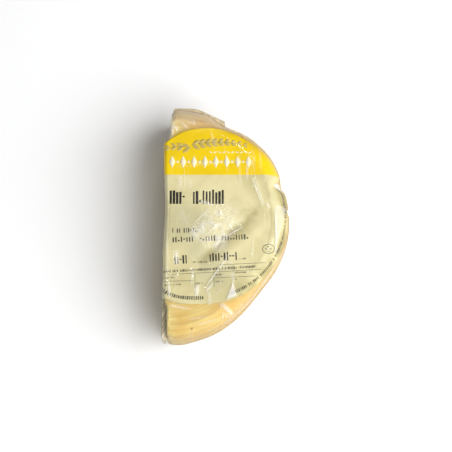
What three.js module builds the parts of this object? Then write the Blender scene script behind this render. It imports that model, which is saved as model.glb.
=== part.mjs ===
// Half a wheel of goat cheese, shrink-wrapped in clear film with a round label.
//
// The cheese lies on its base at z = 0. Its cut face looks towards -X and its rind towards +X and
// both ways along Y. Sizes are in millimetres, with +Z up. While it is being made, the model's X
// starts at the cut face and its Y at the middle of the cut; the last lines centre it over its base.
//
// The body is a wheel of cheese sliced by a plane. Each of its level sections is a D: a circle
// round the wheel's axis, cut off by the plane, with the two corners eased by the tight film.
// Rings of points on those sections are joined into one closed skin. The label is a thin disc
// rolled over the same body: flat on top, down the shoulder, and over the cut edge.

import * as THREE from "three";

// The wheel and the cut.
const WHEEL_RADIUS = 100; // to the outside of the film
const AXIS_FROM_CUT = 3; // the cut leaves slightly more than half of the wheel
const HEIGHT = 72;
const SHOULDER = 16; // round between the side and the top
const FOOT = 11; // round between the side and the base
const CUT_EDGE = 4; // film and label bend over the sharp cut edges this widely
const BARREL = 1.5; // the side swells by this much at half height
const TOP_SAG = 0.8; // the top sinks this much in the middle
const SAG_RADIUS = 62;

// The two upright corners at the ends of the cut. A higher power is a sharper corner.
const FAR_CORNER_POWER = 18;
const NEAR_CORNER_POWER = 80;

// Where the hand-made wheel leaves its circle: the direction from the wheel's axis, how far it
// swells (or, below zero, is dented), and how widely. Angles are in degrees.
const SWELLINGS = [
  { at: 0, by: 3.0, spread: 22 },
  { at: 32, by: 3.4, spread: 14 },
  { at: 84, by: -1.2, spread: 14 },
  { at: -38, by: -3.2, spread: 16 },
  { at: -75, by: 2.2, spread: 14 },
  { at: -87, by: 2.2, spread: 8 },
];

// The label holds the film off the cut face. Past the label's ends the face is recessed.
const FAR_RECESS = { depth: 4, from: 64, to: 78 };
const NEAR_RECESS = { depth: 2, from: 66, to: 80 };

// Where the tight film draws the side in. Each dent is deepest at its high level and has died out
// at its low one.
const PLEAT = { at: 17.3, depth: 4.2, spread: 3, low: 20, high: 50 }; // label and film pucker
const HOLLOW = { at: 60, depth: 3.9, spread: 8, low: 18, high: 58 }; // film stretched past the end

// Ribs that the mould leaves on the rind, parallel to its rim, from the top down the side.
const RIB_PITCH = 8;
const RIB_DEPTH = 0.9;
const RIBS_ON_TOP = 12; // the outer ring of the top that is ribbed
const RIBS_UNTIL = 66; // down to here, measured over the skin from the shoulder's start
const RIB_EASE = 8;

// Two folds of spare film that stand out like low fins.
const EAR_HEIGHT = 3.2; // along the shoulder at the far end of the cut
const EAR_LEVEL = 57;
const EAR_THICKNESS = 2.6;
const EAR_FROM = 60;
const EAR_TO = 96;
const EAR_END = 2.5;
const FIN_HEIGHT = 2.8; // along the cut face at its near end
const FIN_LEVEL = 62;
const FIN_THICKNESS = 3;
const FIN_FROM = -101;
const FIN_TO = -71;
const FIN_END = 4;

// The round label.
const LABEL_RADIUS = 74.5;
const LABEL_X = 34; // its middle, from the cut
const LABEL_Y = 3.5;
const LABEL_GAP = 0.6;
const LABEL_THICKNESS = 0.4;
const LABEL_MARGIN = 3; // the rind lies smooth this far round the label
const LABEL_TIP = 0.3; // its first and last rows lie this far inside its rim

// How finely the skin is divided.
const STEPS_ROUND = 92;
const LEVEL_STEP = 2.7;
const FOOT_STEPS = 4;
const TOP_STEPS_RIBBED = 5;
const TOP_STEPS_PLAIN = 4;
const LABEL_STEPS_ACROSS = 24;
const FINE_WIDTH = 5; // steps are shorter this far on either side of the pleat and the ear's end
const FINER_AT_PLEAT = 3.5;

const CORE_X = 46; // every ring is drawn round this point on the X axis
const RIGHT_ANGLE = Math.PI / 2;

const degrees = THREE.MathUtils.radToDeg;
const smoothstep = THREE.MathUtils.smoothstep;
const clamp = THREE.MathUtils.clamp;
const bell = (distance, spread) => Math.exp(-((distance / spread) ** 2));

// The positions that divide a span into equal shares of a length, which is the sum of `lengthOf`
// over short pieces of the span.
function divideEvenly(from, to, count, lengthOf) {
  const samples = 1440;
  const at = (sample) => from + ((to - from) * sample) / samples;
  const run = [0];
  for (let sample = 1; sample <= samples; sample += 1)
    run.push(run[sample - 1] + lengthOf(at(sample - 1), at(sample)));
  const positions = [from];
  let sample = 0;
  for (let step = 1; step < count; step += 1) {
    const wanted = (run[samples] * step) / count;
    while (run[sample + 1] < wanted) sample += 1;
    positions.push(at(sample + (wanted - run[sample]) / (run[sample + 1] - run[sample])));
  }
  positions.push(to);
  return positions;
}

// The wheel's own radius in a direction round its axis, without the dents.
function wheelRadius(angle) {
  let radius = WHEEL_RADIUS;
  for (const { at, by, spread } of SWELLINGS)
    radius += by * bell(degrees(angle) - at, spread);
  return radius;
}

// How far the skin has turned from level to upright at a height: 0 on top, a right angle from the
// shoulder's end down.
function bendAt(z) {
  return Math.acos(clamp(1 - (HEIGHT - z) / SHOULDER, 0, 1));
}

// How deep one of the film's dents is at a direction and a height.
function dentDepth({ at, depth, spread, low, high }, angle, z) {
  return depth * bell(degrees(angle) - at, spread) * smoothstep(z, low, high);
}

// How far the upright side is drawn in at a direction and a height, by the barrel and the dents.
// Both fade over the shoulder, towards the level top.
function sideInset(angle, z) {
  const middle = (HEIGHT - SHOULDER) / 2;
  const barrel = BARREL * Math.min(1, ((z - middle) / middle) ** 2);
  const dents = dentDepth(PLEAT, angle, z) + dentDepth(HOLLOW, angle, z);
  return (barrel + dents) * Math.sin(bendAt(z));
}

// How far a quarter-round edge is drawn in, for a share of the way across it.
function quarterRound(share) {
  return 1 - Math.sqrt(Math.max(0, 1 - share * share));
}

// The height of the top, which sinks a little towards its middle.
function topHeight(x, y) {
  const share = Math.hypot(x - CORE_X, y) / SAG_RADIUS;
  return HEIGHT - TOP_SAG * Math.max(0, 1 - share * share) ** 2;
}

// How far the fold at the far end stands out of the round side.
function earHeight(angle, z) {
  const turn = degrees(angle);
  return (
    EAR_HEIGHT *
    bell(z - EAR_LEVEL, EAR_THICKNESS) *
    smoothstep(turn, EAR_FROM - EAR_END, EAR_FROM + EAR_END) *
    (1 - smoothstep(turn, EAR_TO - EAR_END, EAR_TO + EAR_END))
  );
}

// How far the fold at the near end stands out of the cut face.
function finHeight(y, z) {
  return (
    FIN_HEIGHT *
    bell(z - FIN_LEVEL, FIN_THICKNESS) *
    smoothstep(y, FIN_FROM - FIN_END, FIN_FROM + FIN_END) *
    (1 - smoothstep(y, FIN_TO - FIN_END, FIN_TO + FIN_END))
  );
}

// How far the cut face is recessed at a place along the cut.
function cutRecess(y) {
  const share = ({ from, to }, distance) => smoothstep(distance, from, to);
  return FAR_RECESS.depth * share(FAR_RECESS, y) + NEAR_RECESS.depth * share(NEAR_RECESS, -y);
}

// The distance from the core to the D-shaped section at a height, in a direction. The circle and
// the plane are both distances along that ray, and a power mean of the two eases the corner.
function reach(direction, z) {
  const cos = Math.cos(direction);
  const sin = Math.sin(direction);
  const toAxis = CORE_X - AXIS_FROM_CUT;
  const shoulder = SHOULDER * (1 - Math.sin(bendAt(z)));
  const foot = FOOT * quarterRound(Math.max(0, FOOT - z) / FOOT);
  let toCircle = WHEEL_RADIUS;
  for (let pass = 0; pass < 4; pass += 1) {
    const angle = Math.atan2(toCircle * sin, toAxis + toCircle * cos);
    const radius =
      wheelRadius(angle) - shoulder - foot - sideInset(angle, z) + earHeight(angle, z);
    const along = toAxis * cos;
    toCircle = -along + Math.sqrt(along * along - toAxis * toAxis + radius * radius);
  }
  if (cos > -0.05) return toCircle;
  const yAtCut = (-CORE_X * sin) / cos;
  const edge = CUT_EDGE * quarterRound(Math.max(0, z - (HEIGHT - CUT_EDGE), CUT_EDGE - z) / CUT_EDGE);
  const toPlane = (CORE_X - edge - cutRecess(yAtCut) + finHeight(yAtCut, z)) / -cos;
  const power = sin > 0 ? FAR_CORNER_POWER : NEAR_CORNER_POWER;
  return (toCircle ** -power + toPlane ** -power) ** (-1 / power);
}

// Presses the mould's ribs into a point of the skin, along the skin's normal. The run is measured
// over the skin from the shoulder's start. The cut face and a disc round the label stay smooth.
function pressRibs(point) {
  const angle = Math.atan2(point.y, point.x - AXIS_FROM_CUT);
  const start = wheelRadius(angle) - SHOULDER;
  const level = Math.hypot(point.x - AXIS_FROM_CUT, point.y) - start;
  const bend = level <= 0 ? 0 : bendAt(point.z);
  const run = level <= 0 ? level : SHOULDER * bend + Math.max(0, HEIGHT - SHOULDER - point.z);
  const flatX = AXIS_FROM_CUT + (start + run) * Math.cos(angle);
  const flatY = (start + run) * Math.sin(angle);
  const fromLabel = Math.hypot(flatX - LABEL_X, flatY - LABEL_Y) - LABEL_RADIUS;
  const depth =
    RIB_DEPTH *
    (0.5 - 0.5 * Math.cos((2 * Math.PI * (run + RIBS_ON_TOP)) / RIB_PITCH)) *
    smoothstep(run, -RIBS_ON_TOP, -RIBS_ON_TOP + RIB_EASE) *
    (1 - smoothstep(run, RIBS_UNTIL - RIB_EASE, RIBS_UNTIL)) *
    smoothstep(fromLabel, LABEL_MARGIN, LABEL_MARGIN + RIB_EASE) *
    smoothstep(point.x, 0, CUT_EDGE);
  return new THREE.Vector3(
    point.x - depth * Math.sin(bend) * Math.cos(angle),
    point.y - depth * Math.sin(bend) * Math.sin(angle),
    point.z - depth * Math.cos(bend),
  );
}

// Directions from the core that divide the rim evenly by length, closer together at the pleat and
// at the ear's end.
function ringDirections() {
  const rimPoint = (direction) => {
    const distance = reach(direction, HEIGHT / 2);
    return { x: CORE_X + distance * Math.cos(direction), y: distance * Math.sin(direction) };
  };
  const lengthOf = (start, end) => {
    const from = rimPoint(start);
    const to = rimPoint(end);
    const turn = degrees(Math.atan2(to.y, to.x - AXIS_FROM_CUT));
    const fineness =
      1 + FINER_AT_PLEAT * bell(turn - PLEAT.at, FINE_WIDTH) + bell(turn - EAR_FROM, FINE_WIDTH);
    return fineness * Math.hypot(to.x - from.x, to.y - from.y);
  };
  return divideEvenly(-Math.PI, Math.PI, STEPS_ROUND, lengthOf).slice(0, STEPS_ROUND);
}

// Heights of the rings from the base to the top: closer round the foot and the shoulder.
function ringHeights() {
  const heights = [];
  for (let step = 0; step <= FOOT_STEPS; step += 1)
    heights.push(FOOT * (1 - Math.cos((RIGHT_ANGLE * step) / FOOT_STEPS)));
  const wall = HEIGHT - SHOULDER - FOOT;
  const wallSteps = Math.round(wall / LEVEL_STEP);
  for (let step = 1; step <= wallSteps; step += 1) heights.push(FOOT + (wall * step) / wallSteps);
  const shoulderSteps = Math.round((SHOULDER * RIGHT_ANGLE) / LEVEL_STEP);
  for (let step = 1; step <= shoulderSteps; step += 1)
    heights.push(HEIGHT - SHOULDER + SHOULDER * Math.sin((RIGHT_ANGLE * step) / shoulderSteps));
  return heights;
}

// Joins closed rings into one skin, with a point at each end.
function loft(rings, firstPole, lastPole) {
  const around = rings[0].length;
  const points = [firstPole, ...rings.flat(), lastPole];
  const at = (ring, step) => 1 + ring * around + (step % around);
  const faces = [];
  for (let step = 0; step < around; step += 1) {
    faces.push(0, at(0, step + 1), at(0, step));
    for (let ring = 0; ring + 1 < rings.length; ring += 1) {
      faces.push(at(ring, step), at(ring, step + 1), at(ring + 1, step + 1));
      faces.push(at(ring, step), at(ring + 1, step + 1), at(ring + 1, step));
    }
    faces.push(at(rings.length - 1, step), at(rings.length - 1, step + 1), points.length - 1);
  }
  const geometry = new THREE.BufferGeometry().setFromPoints(points);
  geometry.setIndex(faces);
  geometry.computeVertexNormals();
  return geometry;
}

// The sealed pack: the half wheel inside its film.
function packGeometry() {
  const directions = ringDirections();
  const outline = (z) =>
    directions.map((direction) => {
      const distance = reach(direction, z);
      return new THREE.Vector3(
        CORE_X + distance * Math.cos(direction),
        distance * Math.sin(direction),
        z,
      );
    });
  const [foot, ...sides] = ringHeights().map(outline);
  const rim = sides[sides.length - 1];
  const base = foot.map((point) => new THREE.Vector3((CORE_X + point.x) / 2, point.y / 2, 0));
  const ribbedShare = 1 - RIBS_ON_TOP / SAG_RADIUS;
  const shares = [];
  for (let step = 1; step <= TOP_STEPS_RIBBED; step += 1)
    shares.push(1 + ((ribbedShare - 1) * step) / TOP_STEPS_RIBBED);
  for (let step = 1; step < TOP_STEPS_PLAIN; step += 1)
    shares.push(ribbedShare * (1 - step / TOP_STEPS_PLAIN));
  const tops = shares.map((share) =>
    rim.map((edge) => {
      const x = CORE_X + (edge.x - CORE_X) * share;
      const y = edge.y * share;
      return new THREE.Vector3(x, y, topHeight(x, y));
    }),
  );
  const ribbed = [...sides, ...tops].map((ring) => ring.map(pressRibs));
  return loft(
    [base, foot, ...ribbed],
    new THREE.Vector3(CORE_X, 0, 0),
    new THREE.Vector3(CORE_X, 0, topHeight(CORE_X, 0)),
  );
}

// Rolls a point of the flat label onto the body, and lifts it off along the body's normal.
// x and y are where the point would lie if the top ran on level for ever.
function rollOntoBody(x, y, lift) {
  if (x < CUT_EDGE) {
    const over = CUT_EDGE - x;
    const bend = Math.min(over / CUT_EDGE, RIGHT_ANGLE);
    const down = CUT_EDGE * (1 - Math.cos(bend)) + Math.max(0, over - CUT_EDGE * RIGHT_ANGLE);
    return new THREE.Vector3(
      CUT_EDGE - (CUT_EDGE + lift) * Math.sin(bend),
      y,
      HEIGHT - down + lift * Math.cos(bend),
    );
  }
  const angle = Math.atan2(y, x - AXIS_FROM_CUT);
  const start = wheelRadius(angle) - SHOULDER;
  const run = Math.hypot(x - AXIS_FROM_CUT, y) - start;
  if (run <= 0) return new THREE.Vector3(x, y, topHeight(x, y) + lift);
  const bend = Math.min(run / SHOULDER, RIGHT_ANGLE);
  const down = SHOULDER * (1 - Math.cos(bend)) + Math.max(0, run - SHOULDER * RIGHT_ANGLE);
  const out = start + (SHOULDER + lift) * Math.sin(bend) - sideInset(angle, HEIGHT - down);
  return new THREE.Vector3(
    AXIS_FROM_CUT + out * Math.cos(angle),
    out * Math.sin(angle),
    HEIGHT - down + lift * Math.cos(bend),
  );
}

// Where the label is divided along X: closer together over the cut edge and down the shoulder.
function labelStations() {
  const left = LABEL_X - LABEL_RADIUS + LABEL_TIP;
  const right = LABEL_X + LABEL_RADIUS - LABEL_TIP;
  const tip = 7;
  const edgeEnd = CUT_EDGE * (1 - RIGHT_ANGLE);
  const shoulderStart = AXIS_FROM_CUT + WHEEL_RADIUS - SHOULDER;
  const stretches = [
    { from: left, to: left + tip, steps: 3 },
    { from: left + tip, to: edgeEnd, steps: 3 },
    { from: edgeEnd, to: CUT_EDGE, steps: 5 },
    { from: CUT_EDGE, to: shoulderStart, steps: 14 },
    { from: shoulderStart, to: right, steps: 10 },
  ];
  const stations = stretches.flatMap(({ from, to, steps }) =>
    Array.from({ length: steps }, (_, step) => from + ((to - from) * step) / steps),
  );
  return [...stations, right];
}

// The label: a disc of paper, made as loops round its thickness, one for each station. Its rows
// lie closer together where they cross the pleat.
function labelGeometry() {
  const rings = labelStations().map((x) => {
    const halfWidth = Math.sqrt(LABEL_RADIUS ** 2 - (x - LABEL_X) ** 2);
    const pleatY = (x - AXIS_FROM_CUT) * Math.tan(THREE.MathUtils.degToRad(PLEAT.at));
    const lengthOf = (from, to) => {
      const inward = WHEEL_RADIUS - SHOULDER - Math.hypot(x - AXIS_FROM_CUT, from);
      const onShoulder = 1 - smoothstep(inward, 0, FINE_WIDTH);
      return (from - to) * (1 + FINER_AT_PLEAT * bell(from - pleatY, 2 * FINE_WIDTH) + onShoulder);
    };
    const rows = divideEvenly(
      LABEL_Y + halfWidth,
      LABEL_Y - halfWidth,
      LABEL_STEPS_ACROSS,
      lengthOf,
    );
    const over = rows.map((y) => rollOntoBody(x, y, LABEL_GAP + LABEL_THICKNESS));
    const under = rows.map((y) => rollOntoBody(x, y, LABEL_GAP));
    return [...over, ...under.reverse()];
  });
  const middle = (ring) =>
    ring.reduce((sum, point) => sum.add(point), new THREE.Vector3()).divideScalar(ring.length);
  return loft(rings, middle(rings[0]), middle(rings[rings.length - 1]));
}

function part(name, geometry, color, roughness) {
  const mesh = new THREE.Mesh(
    geometry,
    new THREE.MeshStandardMaterial({ color, roughness, metalness: 0 }),
  );
  mesh.name = name;
  return mesh;
}

const cheese = new THREE.Group();
cheese.add(part("sealed_half_wheel", packGeometry(), 0xe8c77e, 0.3));
cheese.add(part("round_label", labelGeometry(), 0xe0d8a4, 0.5));

// The origin is under the middle of the whole, on the surface that it lies on.
const bounds = new THREE.Box3().setFromObject(cheese);
const centre = bounds.getCenter(new THREE.Vector3());
cheese.position.set(-centre.x, -centre.y, -bounds.min.z);

export default cheese;
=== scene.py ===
"""Half a wheel of goat cheese in clear shrink film, with a round paper label under the film.

Shapes are worked out in millimetres in the wheel's own axes: x from the cut face, y along the cut
and z up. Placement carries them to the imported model's frame, in metres. The wheel's form is the
solids' own: rings round D-shaped sections. Everything else lies on it: the cheese just inside,
the label rolled over it, and the film over both.
"""

from __future__ import annotations

import logging
import math
from dataclasses import dataclass, field
from enum import Enum

import bpy
import numpy as np
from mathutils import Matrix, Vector

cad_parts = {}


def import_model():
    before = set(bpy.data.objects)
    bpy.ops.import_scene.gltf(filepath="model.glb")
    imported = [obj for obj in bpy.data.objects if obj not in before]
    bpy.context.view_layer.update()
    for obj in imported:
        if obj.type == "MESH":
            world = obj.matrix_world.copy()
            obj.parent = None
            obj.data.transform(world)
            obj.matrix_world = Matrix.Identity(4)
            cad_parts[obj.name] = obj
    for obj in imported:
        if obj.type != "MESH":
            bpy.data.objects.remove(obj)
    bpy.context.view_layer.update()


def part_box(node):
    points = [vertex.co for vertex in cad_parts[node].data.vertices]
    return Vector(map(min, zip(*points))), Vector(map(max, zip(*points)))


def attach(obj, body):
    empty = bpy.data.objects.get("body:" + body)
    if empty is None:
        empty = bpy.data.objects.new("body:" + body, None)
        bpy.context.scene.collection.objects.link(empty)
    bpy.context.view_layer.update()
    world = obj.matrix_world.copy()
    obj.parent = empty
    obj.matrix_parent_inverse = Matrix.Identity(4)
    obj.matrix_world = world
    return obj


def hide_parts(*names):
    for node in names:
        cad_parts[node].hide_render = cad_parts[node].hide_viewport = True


Array = np.ndarray
Colour = tuple[float, float, float, float]
Place = tuple[float, float]
Stretch = tuple[float, float]  # where something starts and where it ends
Socket = bpy.types.NodeSocket
Node = bpy.types.Node

MM = 0.001  # metres in a millimetre
UV_SCALE = 1 / 200  # the UV map's units in a millimetre of the flat label
RIGHT_ANGLE = math.pi / 2
NOISE_CELLS = 256  # squares along each side of the noise's lattice, which then repeats
NO_TINT: Colour = (1.0, 1.0, 1.0, 1.0)
STROKE_STEP, ARC_STEP = 0.9, 1.2  # millimetres between two points of a printed stroke
ROOT = "root"
BAG_NODE = "sealed_half_wheel"
LABEL_NODE = "round_label"

log = logging.getLogger("goat_cheese")


# Numbers and noise


def smoothstep(value: Array, low: float, high: float) -> Array:
    """Rises smoothly from 0 at low to 1 at high: 3s^2 - 2s^3 of the share s of the way."""
    share = np.clip((value - low) / (high - low), 0.0, 1.0)
    return share * share * (3.0 - 2.0 * share)


def bell(distance: Array, spread: float) -> Array:
    """1 at no distance, falling as e to the minus square of distance over spread."""
    return np.exp(-((distance / spread) ** 2))


def quarter_round(share: Array) -> Array:
    """How far a quarter-round edge of radius 1 is drawn in: 1 - sqrt(1 - s^2)."""
    return 1.0 - np.sqrt(np.maximum(0.0, 1.0 - share * share))


def value_noise(x: Array, y: Array, size: float, seed: int) -> Array:
    """Smooth noise from -1 to 1.

    Random heights stand on a square lattice, and a point takes the mean of the four round it,
    weighted by smoothstep of its place in the square.

    Args:
        x, y: the points' coordinates.
        size: the lattice's pitch.
        seed: which random heights are drawn.
    Returns:
        The height at each point.
    """
    heights = np.random.default_rng(seed).uniform(-1.0, 1.0, (NOISE_CELLS, NOISE_CELLS))
    column, row = np.floor(x / size).astype(int), np.floor(y / size).astype(int)
    across = smoothstep(x / size - column, 0.0, 1.0)
    along = smoothstep(y / size - row, 0.0, 1.0)
    left, right = column % NOISE_CELLS, (column + 1) % NOISE_CELLS
    near, far = row % NOISE_CELLS, (row + 1) % NOISE_CELLS
    low = heights[near, left] * (1 - across) + heights[near, right] * across
    high = heights[far, left] * (1 - across) + heights[far, right] * across
    return low * (1 - along) + high * along


def warped(x: Array, y: Array, by: float, size: float, seed: int) -> tuple[Array, Array]:
    """The points moved about by noise: by up to so much, over patches of so much."""
    return x + by * value_noise(x, y, size, seed + 1), y + by * value_noise(x, y, size, seed + 2)


def crumple(x: Array, y: Array, period: float, folds: int, seed: int) -> tuple[Array, Array]:
    """A sheet crushed and pulled flat again: flat facets between straight creases.

    The height is the mean of triangle waves in random directions, over a plane that noise has
    warped a little. The creases are where a wave peaks.

    Args:
        x, y: the points' coordinates.
        period: the mean distance between two creases of one wave.
        folds: how many waves cross.
        seed: which directions are drawn.
    Returns:
        The height from 0 to 1, and how near a crease the point is, from 0 to 1.
    """
    draw = np.random.default_rng(seed)
    warped_x, warped_y = warped(x, y, 0.3 * period, 1.7 * period, seed)
    height, crease = np.zeros_like(x), np.zeros_like(x)
    crease_width = 0.45
    for _ in range(folds):
        turn, pitch = draw.uniform(0, math.pi), period * draw.uniform(0.7, 1.6)
        wave = (warped_x * math.cos(turn) + warped_y * math.sin(turn)) / pitch + draw.uniform()
        from_peak = np.abs(2 * (wave % 1.0) - 1)
        height += (1 - from_peak) / folds
        crease = np.maximum(crease, bell(from_peak * pitch / 2, crease_width))
    return height, crease


def veins(x: Array, y: Array, size: float, thin: float, seed: int) -> Array:
    """Thin winding lines where noise passes zero: a bell of its height there, on warped places."""
    return bell(value_noise(*warped(x, y, 0.6 * size, 0.8 * size, seed), size, seed), thin)


def beside(x: Array, y: Array, start: Place, end: Place) -> tuple[Array, Array]:
    """How far along a line from start to end each point is, as a share, and its distance from it.

    Args:
        x, y: the points' coordinates.
        start, end: the line's ends.
    Returns:
        The share, and the distance.
    """
    run_x, run_y = end[0] - start[0], end[1] - start[1]
    share = ((x - start[0]) * run_x + (y - start[1]) * run_y) / (run_x**2 + run_y**2)
    share = np.clip(share, 0.0, 1.0)
    return share, np.hypot(x - start[0] - share * run_x, y - start[1] - share * run_y)


# The wheel's form


@dataclass(frozen=True)
class Swelling:
    """A place where the wheel leaves its circle, by so much, at an angle and over a spread."""

    at: float
    by: float
    spread: float


@dataclass(frozen=True)
class Dent:
    """A place where the film draws the side in: full above `high`, gone below `low`."""

    at: float
    depth: float
    spread: float
    low: float
    high: float

    def at_place(self, turn: Array, z: Array) -> Array:
        """The dent's depth at a direction in degrees and a height: bell times smoothstep."""
        return self.depth * bell(turn - self.at, self.spread) * smoothstep(z, self.low, self.high)


@dataclass(frozen=True)
class Skin:
    """Rings of points round a body, from the middle of its base to the middle of its top.

    points and normals are rows x columns x 3. flat is where each point would lie if the top ran
    on level for ever. run is the way over the skin from the shoulder's start, outwards.
    """

    points: Array
    normals: Array
    flat: Array
    run: Array
    on_cut: Array
    first_pole: Array
    last_pole: Array


@dataclass(frozen=True)
class WheelForm:
    """The half wheel's outer form, as in the solids but with a sharper cut edge, in millimetres
    and degrees."""

    radius: float = 100.0
    axis_from_cut: float = 3.0
    height: float = 72.0
    shoulder: float = 16.0
    foot: float = 11.0
    cut_edge: float = 2.2
    barrel: float = 1.5
    top_sag: float = 0.8
    sag_radius: float = 62.0
    core_x: float = 46.0
    far_power: float = 18.0
    near_power: float = 80.0
    far_recess: tuple[float, float, float] = (4.0, 64.0, 78.0)
    near_recess: tuple[float, float, float] = (2.0, 66.0, 80.0)
    cut_hollow: Swelling = Swelling(13.0, 1.5, 26.0)
    swellings: tuple[Swelling, ...] = (
        Swelling(0, 3.0, 22),
        Swelling(32, 3.4, 14),
        Swelling(84, -1.2, 14),
        Swelling(-38, -3.2, 16),
        Swelling(-75, 2.2, 14),
        Swelling(-87, 2.2, 8),
    )
    dents: tuple[Dent, ...] = (Dent(17.3, 4.2, 3, 20, 50), Dent(60, 3.9, 8, 18, 58))
    rib_pitch: float = 8.0
    ribs_on_top: float = 12.0
    ribs_until: float = 66.0
    rib_ease: float = 8.0
    ribs_clear_label: float = 3.0
    corner_rounds: int = 4
    least_cosine: float = 0.05
    cut_half_length: float = 150.0
    rim_samples: int = 7201

    def wheel_radius(self, angle: Array) -> Array:
        """The circle's radius in a direction: the mean radius plus a bell for each swelling."""
        turn = np.degrees(angle)
        return self.radius + sum(s.by * bell(turn - s.at, s.spread) for s in self.swellings)

    def bend(self, z: Array) -> Array:
        """How far the skin has turned from level at a height: acos of 1 less drop over shoulder."""
        return np.arccos(np.clip(1 - (self.height - z) / self.shoulder, 0.0, 1.0))

    def side_inset(self, angle: Array, z: Array) -> Array:
        """How far the barrel and the dents draw the side in, fading over the shoulder.

        Args:
            angle: the direction from the wheel's axis.
            z: the height.
        Returns:
            The inset at each point.
        """
        middle = (self.height - self.shoulder) / 2
        inset = self.barrel * np.minimum(1.0, ((z - middle) / middle) ** 2)
        for dent in self.dents:
            inset = inset + dent.at_place(np.degrees(angle), z)
        return inset * np.sin(self.bend(z))

    def top_height(self, x: Array, y: Array) -> Array:
        """The top's height, which sinks by a squared paraboloid towards its middle."""
        share = np.hypot(x - self.core_x, y) / self.sag_radius
        return self.height - self.top_sag * np.maximum(0.0, 1 - share * share) ** 2

    def recess(self, y: Array) -> Array:
        """How far the cut face is recessed: a smoothstep past each end of the label, and a bell.

        Args:
            y: the place along the cut.
        Returns:
            The depth at each point.
        """
        depth, start, end = self.far_recess
        far = depth * smoothstep(y, start, end)
        depth, start, end = self.near_recess
        near = depth * smoothstep(-y, start, end)
        hollow = self.cut_hollow
        return far + near + hollow.by * bell(y - hollow.at, hollow.spread)

    def reach(self, direction: Array, z: Array) -> tuple[Array, Array]:
        """The distance from the core to the D-shaped section at a height, in a direction.

        Along that ray the circle and the plane of the cut lie at two distances, and a power mean
        of the two, which is near the smaller, eases the corner between them. The circle's radius
        varies with the angle round its axis, so its distance is found in a few rounds. Rays that
        hardly lean towards the cut don't meet it.

        Args:
            direction: the ray's angle round the core.
            z: the section's height.
        Returns:
            The distance, and whether the point is on the cut face.
        """
        cos, sin = np.cos(direction), np.sin(direction)
        to_axis = self.core_x - self.axis_from_cut
        drawn_in = self.shoulder * (1 - np.sin(self.bend(z)))
        drawn_in = drawn_in + self.foot * quarter_round(np.maximum(0, self.foot - z) / self.foot)
        to_circle = np.full(np.broadcast_shapes(cos.shape, z.shape), self.radius)
        for _ in range(self.corner_rounds):
            angle = np.arctan2(to_circle * sin, to_axis + to_circle * cos)
            radius = self.wheel_radius(angle) - drawn_in - self.side_inset(angle, z)
            along = to_axis * cos
            to_circle = -along + np.sqrt(along**2 - to_axis**2 + radius**2)
        faces_cut = cos < -self.least_cosine
        towards = np.where(faces_cut, cos, -1.0)
        y_at_cut = -self.core_x * sin / towards
        y_at_cut = np.clip(y_at_cut, -self.cut_half_length, self.cut_half_length)
        past_edge = np.maximum(0, np.maximum(z - (self.height - self.cut_edge), self.cut_edge - z))
        edge = self.cut_edge * quarter_round(past_edge / self.cut_edge)
        to_plane = (self.core_x - edge - self.recess(y_at_cut)) / -towards
        power = np.where(sin > 0, self.far_power, self.near_power)
        ratio = np.where(faces_cut, to_circle / to_plane, 0.0)
        eased = to_circle * (1 + ratio**power) ** (-1 / power)
        return np.where(faces_cut, eased, to_circle), ratio > 1

    def directions(self, count: int) -> Array:
        """Directions from the core that divide the rim at half height into equal lengths.

        Args:
            count: how many.
        Returns:
            Their angles in radians.
        """
        fine = np.linspace(-math.pi, math.pi, self.rim_samples)
        distance, _ = self.reach(fine, np.full_like(fine, self.height / 2))
        steps = np.hypot(np.diff(distance * np.cos(fine)), np.diff(distance * np.sin(fine)))
        length = np.concatenate([[0.0], np.cumsum(steps)])
        return np.interp(np.arange(count) * length[-1] / count, length, fine)

    def skin(self, columns: int, base: int, foot: int, wall: int, shoulder: int, top: int) -> Skin:
        """The whole outer skin as rings: core to foot, up the side, and back in over the top.

        Side rings are the D sections at their heights. Base and top rings are the first and the
        last of those, drawn in towards the core by even shares.

        Args:
            columns: points in a ring.
            base, foot, wall, shoulder, top: rings in each stretch.
        Returns:
            The skin, with normals from the differences of neighbouring points.
        """
        foot_turn = np.linspace(0, RIGHT_ANGLE, foot, endpoint=False)
        heights = self.foot * (1 - np.cos(foot_turn))
        side = np.linspace(self.foot, self.height - self.shoulder, wall, endpoint=False)
        shoulder_turn = np.linspace(0, RIGHT_ANGLE, shoulder)
        over = self.height - self.shoulder + self.shoulder * np.sin(shoulder_turn)
        z = np.concatenate([heights, side, over])[:, None]
        direction = self.directions(columns)[None, :]
        distance, on_cut = self.reach(direction, z)
        ring_x = self.core_x + distance * np.cos(direction)
        ring_y = distance * np.sin(direction)
        shares_in = np.arange(1, base + 1)[:, None] / (base + 1)
        shares_out = 1 - np.arange(1, top + 1)[:, None] / (top + 1)
        base_x = self.toward_core(ring_x[0], shares_in)
        top_x = self.toward_core(ring_x[-1], shares_out)
        x = np.vstack([base_x, ring_x, top_x])
        y = np.vstack([ring_y[0] * shares_in, ring_y, ring_y[-1] * shares_out])
        side_z = np.broadcast_to(z, ring_x.shape)
        z = np.vstack([np.zeros((base, columns)), side_z, self.top_height(top_x, y[-top:])])
        on_cut = np.pad(on_cut, ((base, top), (0, 0)))
        flat, run = self.flatten(x, y, z, on_cut)
        points = np.stack([x, y, z], axis=-1)
        return Skin(
            points=points,
            normals=grid_normals(points),
            flat=flat,
            run=run,
            on_cut=on_cut,
            first_pole=np.array([self.core_x, 0.0, 0.0]),
            last_pole=np.array([self.core_x, 0.0, float(self.top_height(self.core_x, 0.0))]),
        )

    def toward_core(self, x: Array, share: Array) -> Array:
        """x at a share of the way out from the core."""
        return self.core_x + (x - self.core_x) * share

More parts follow.
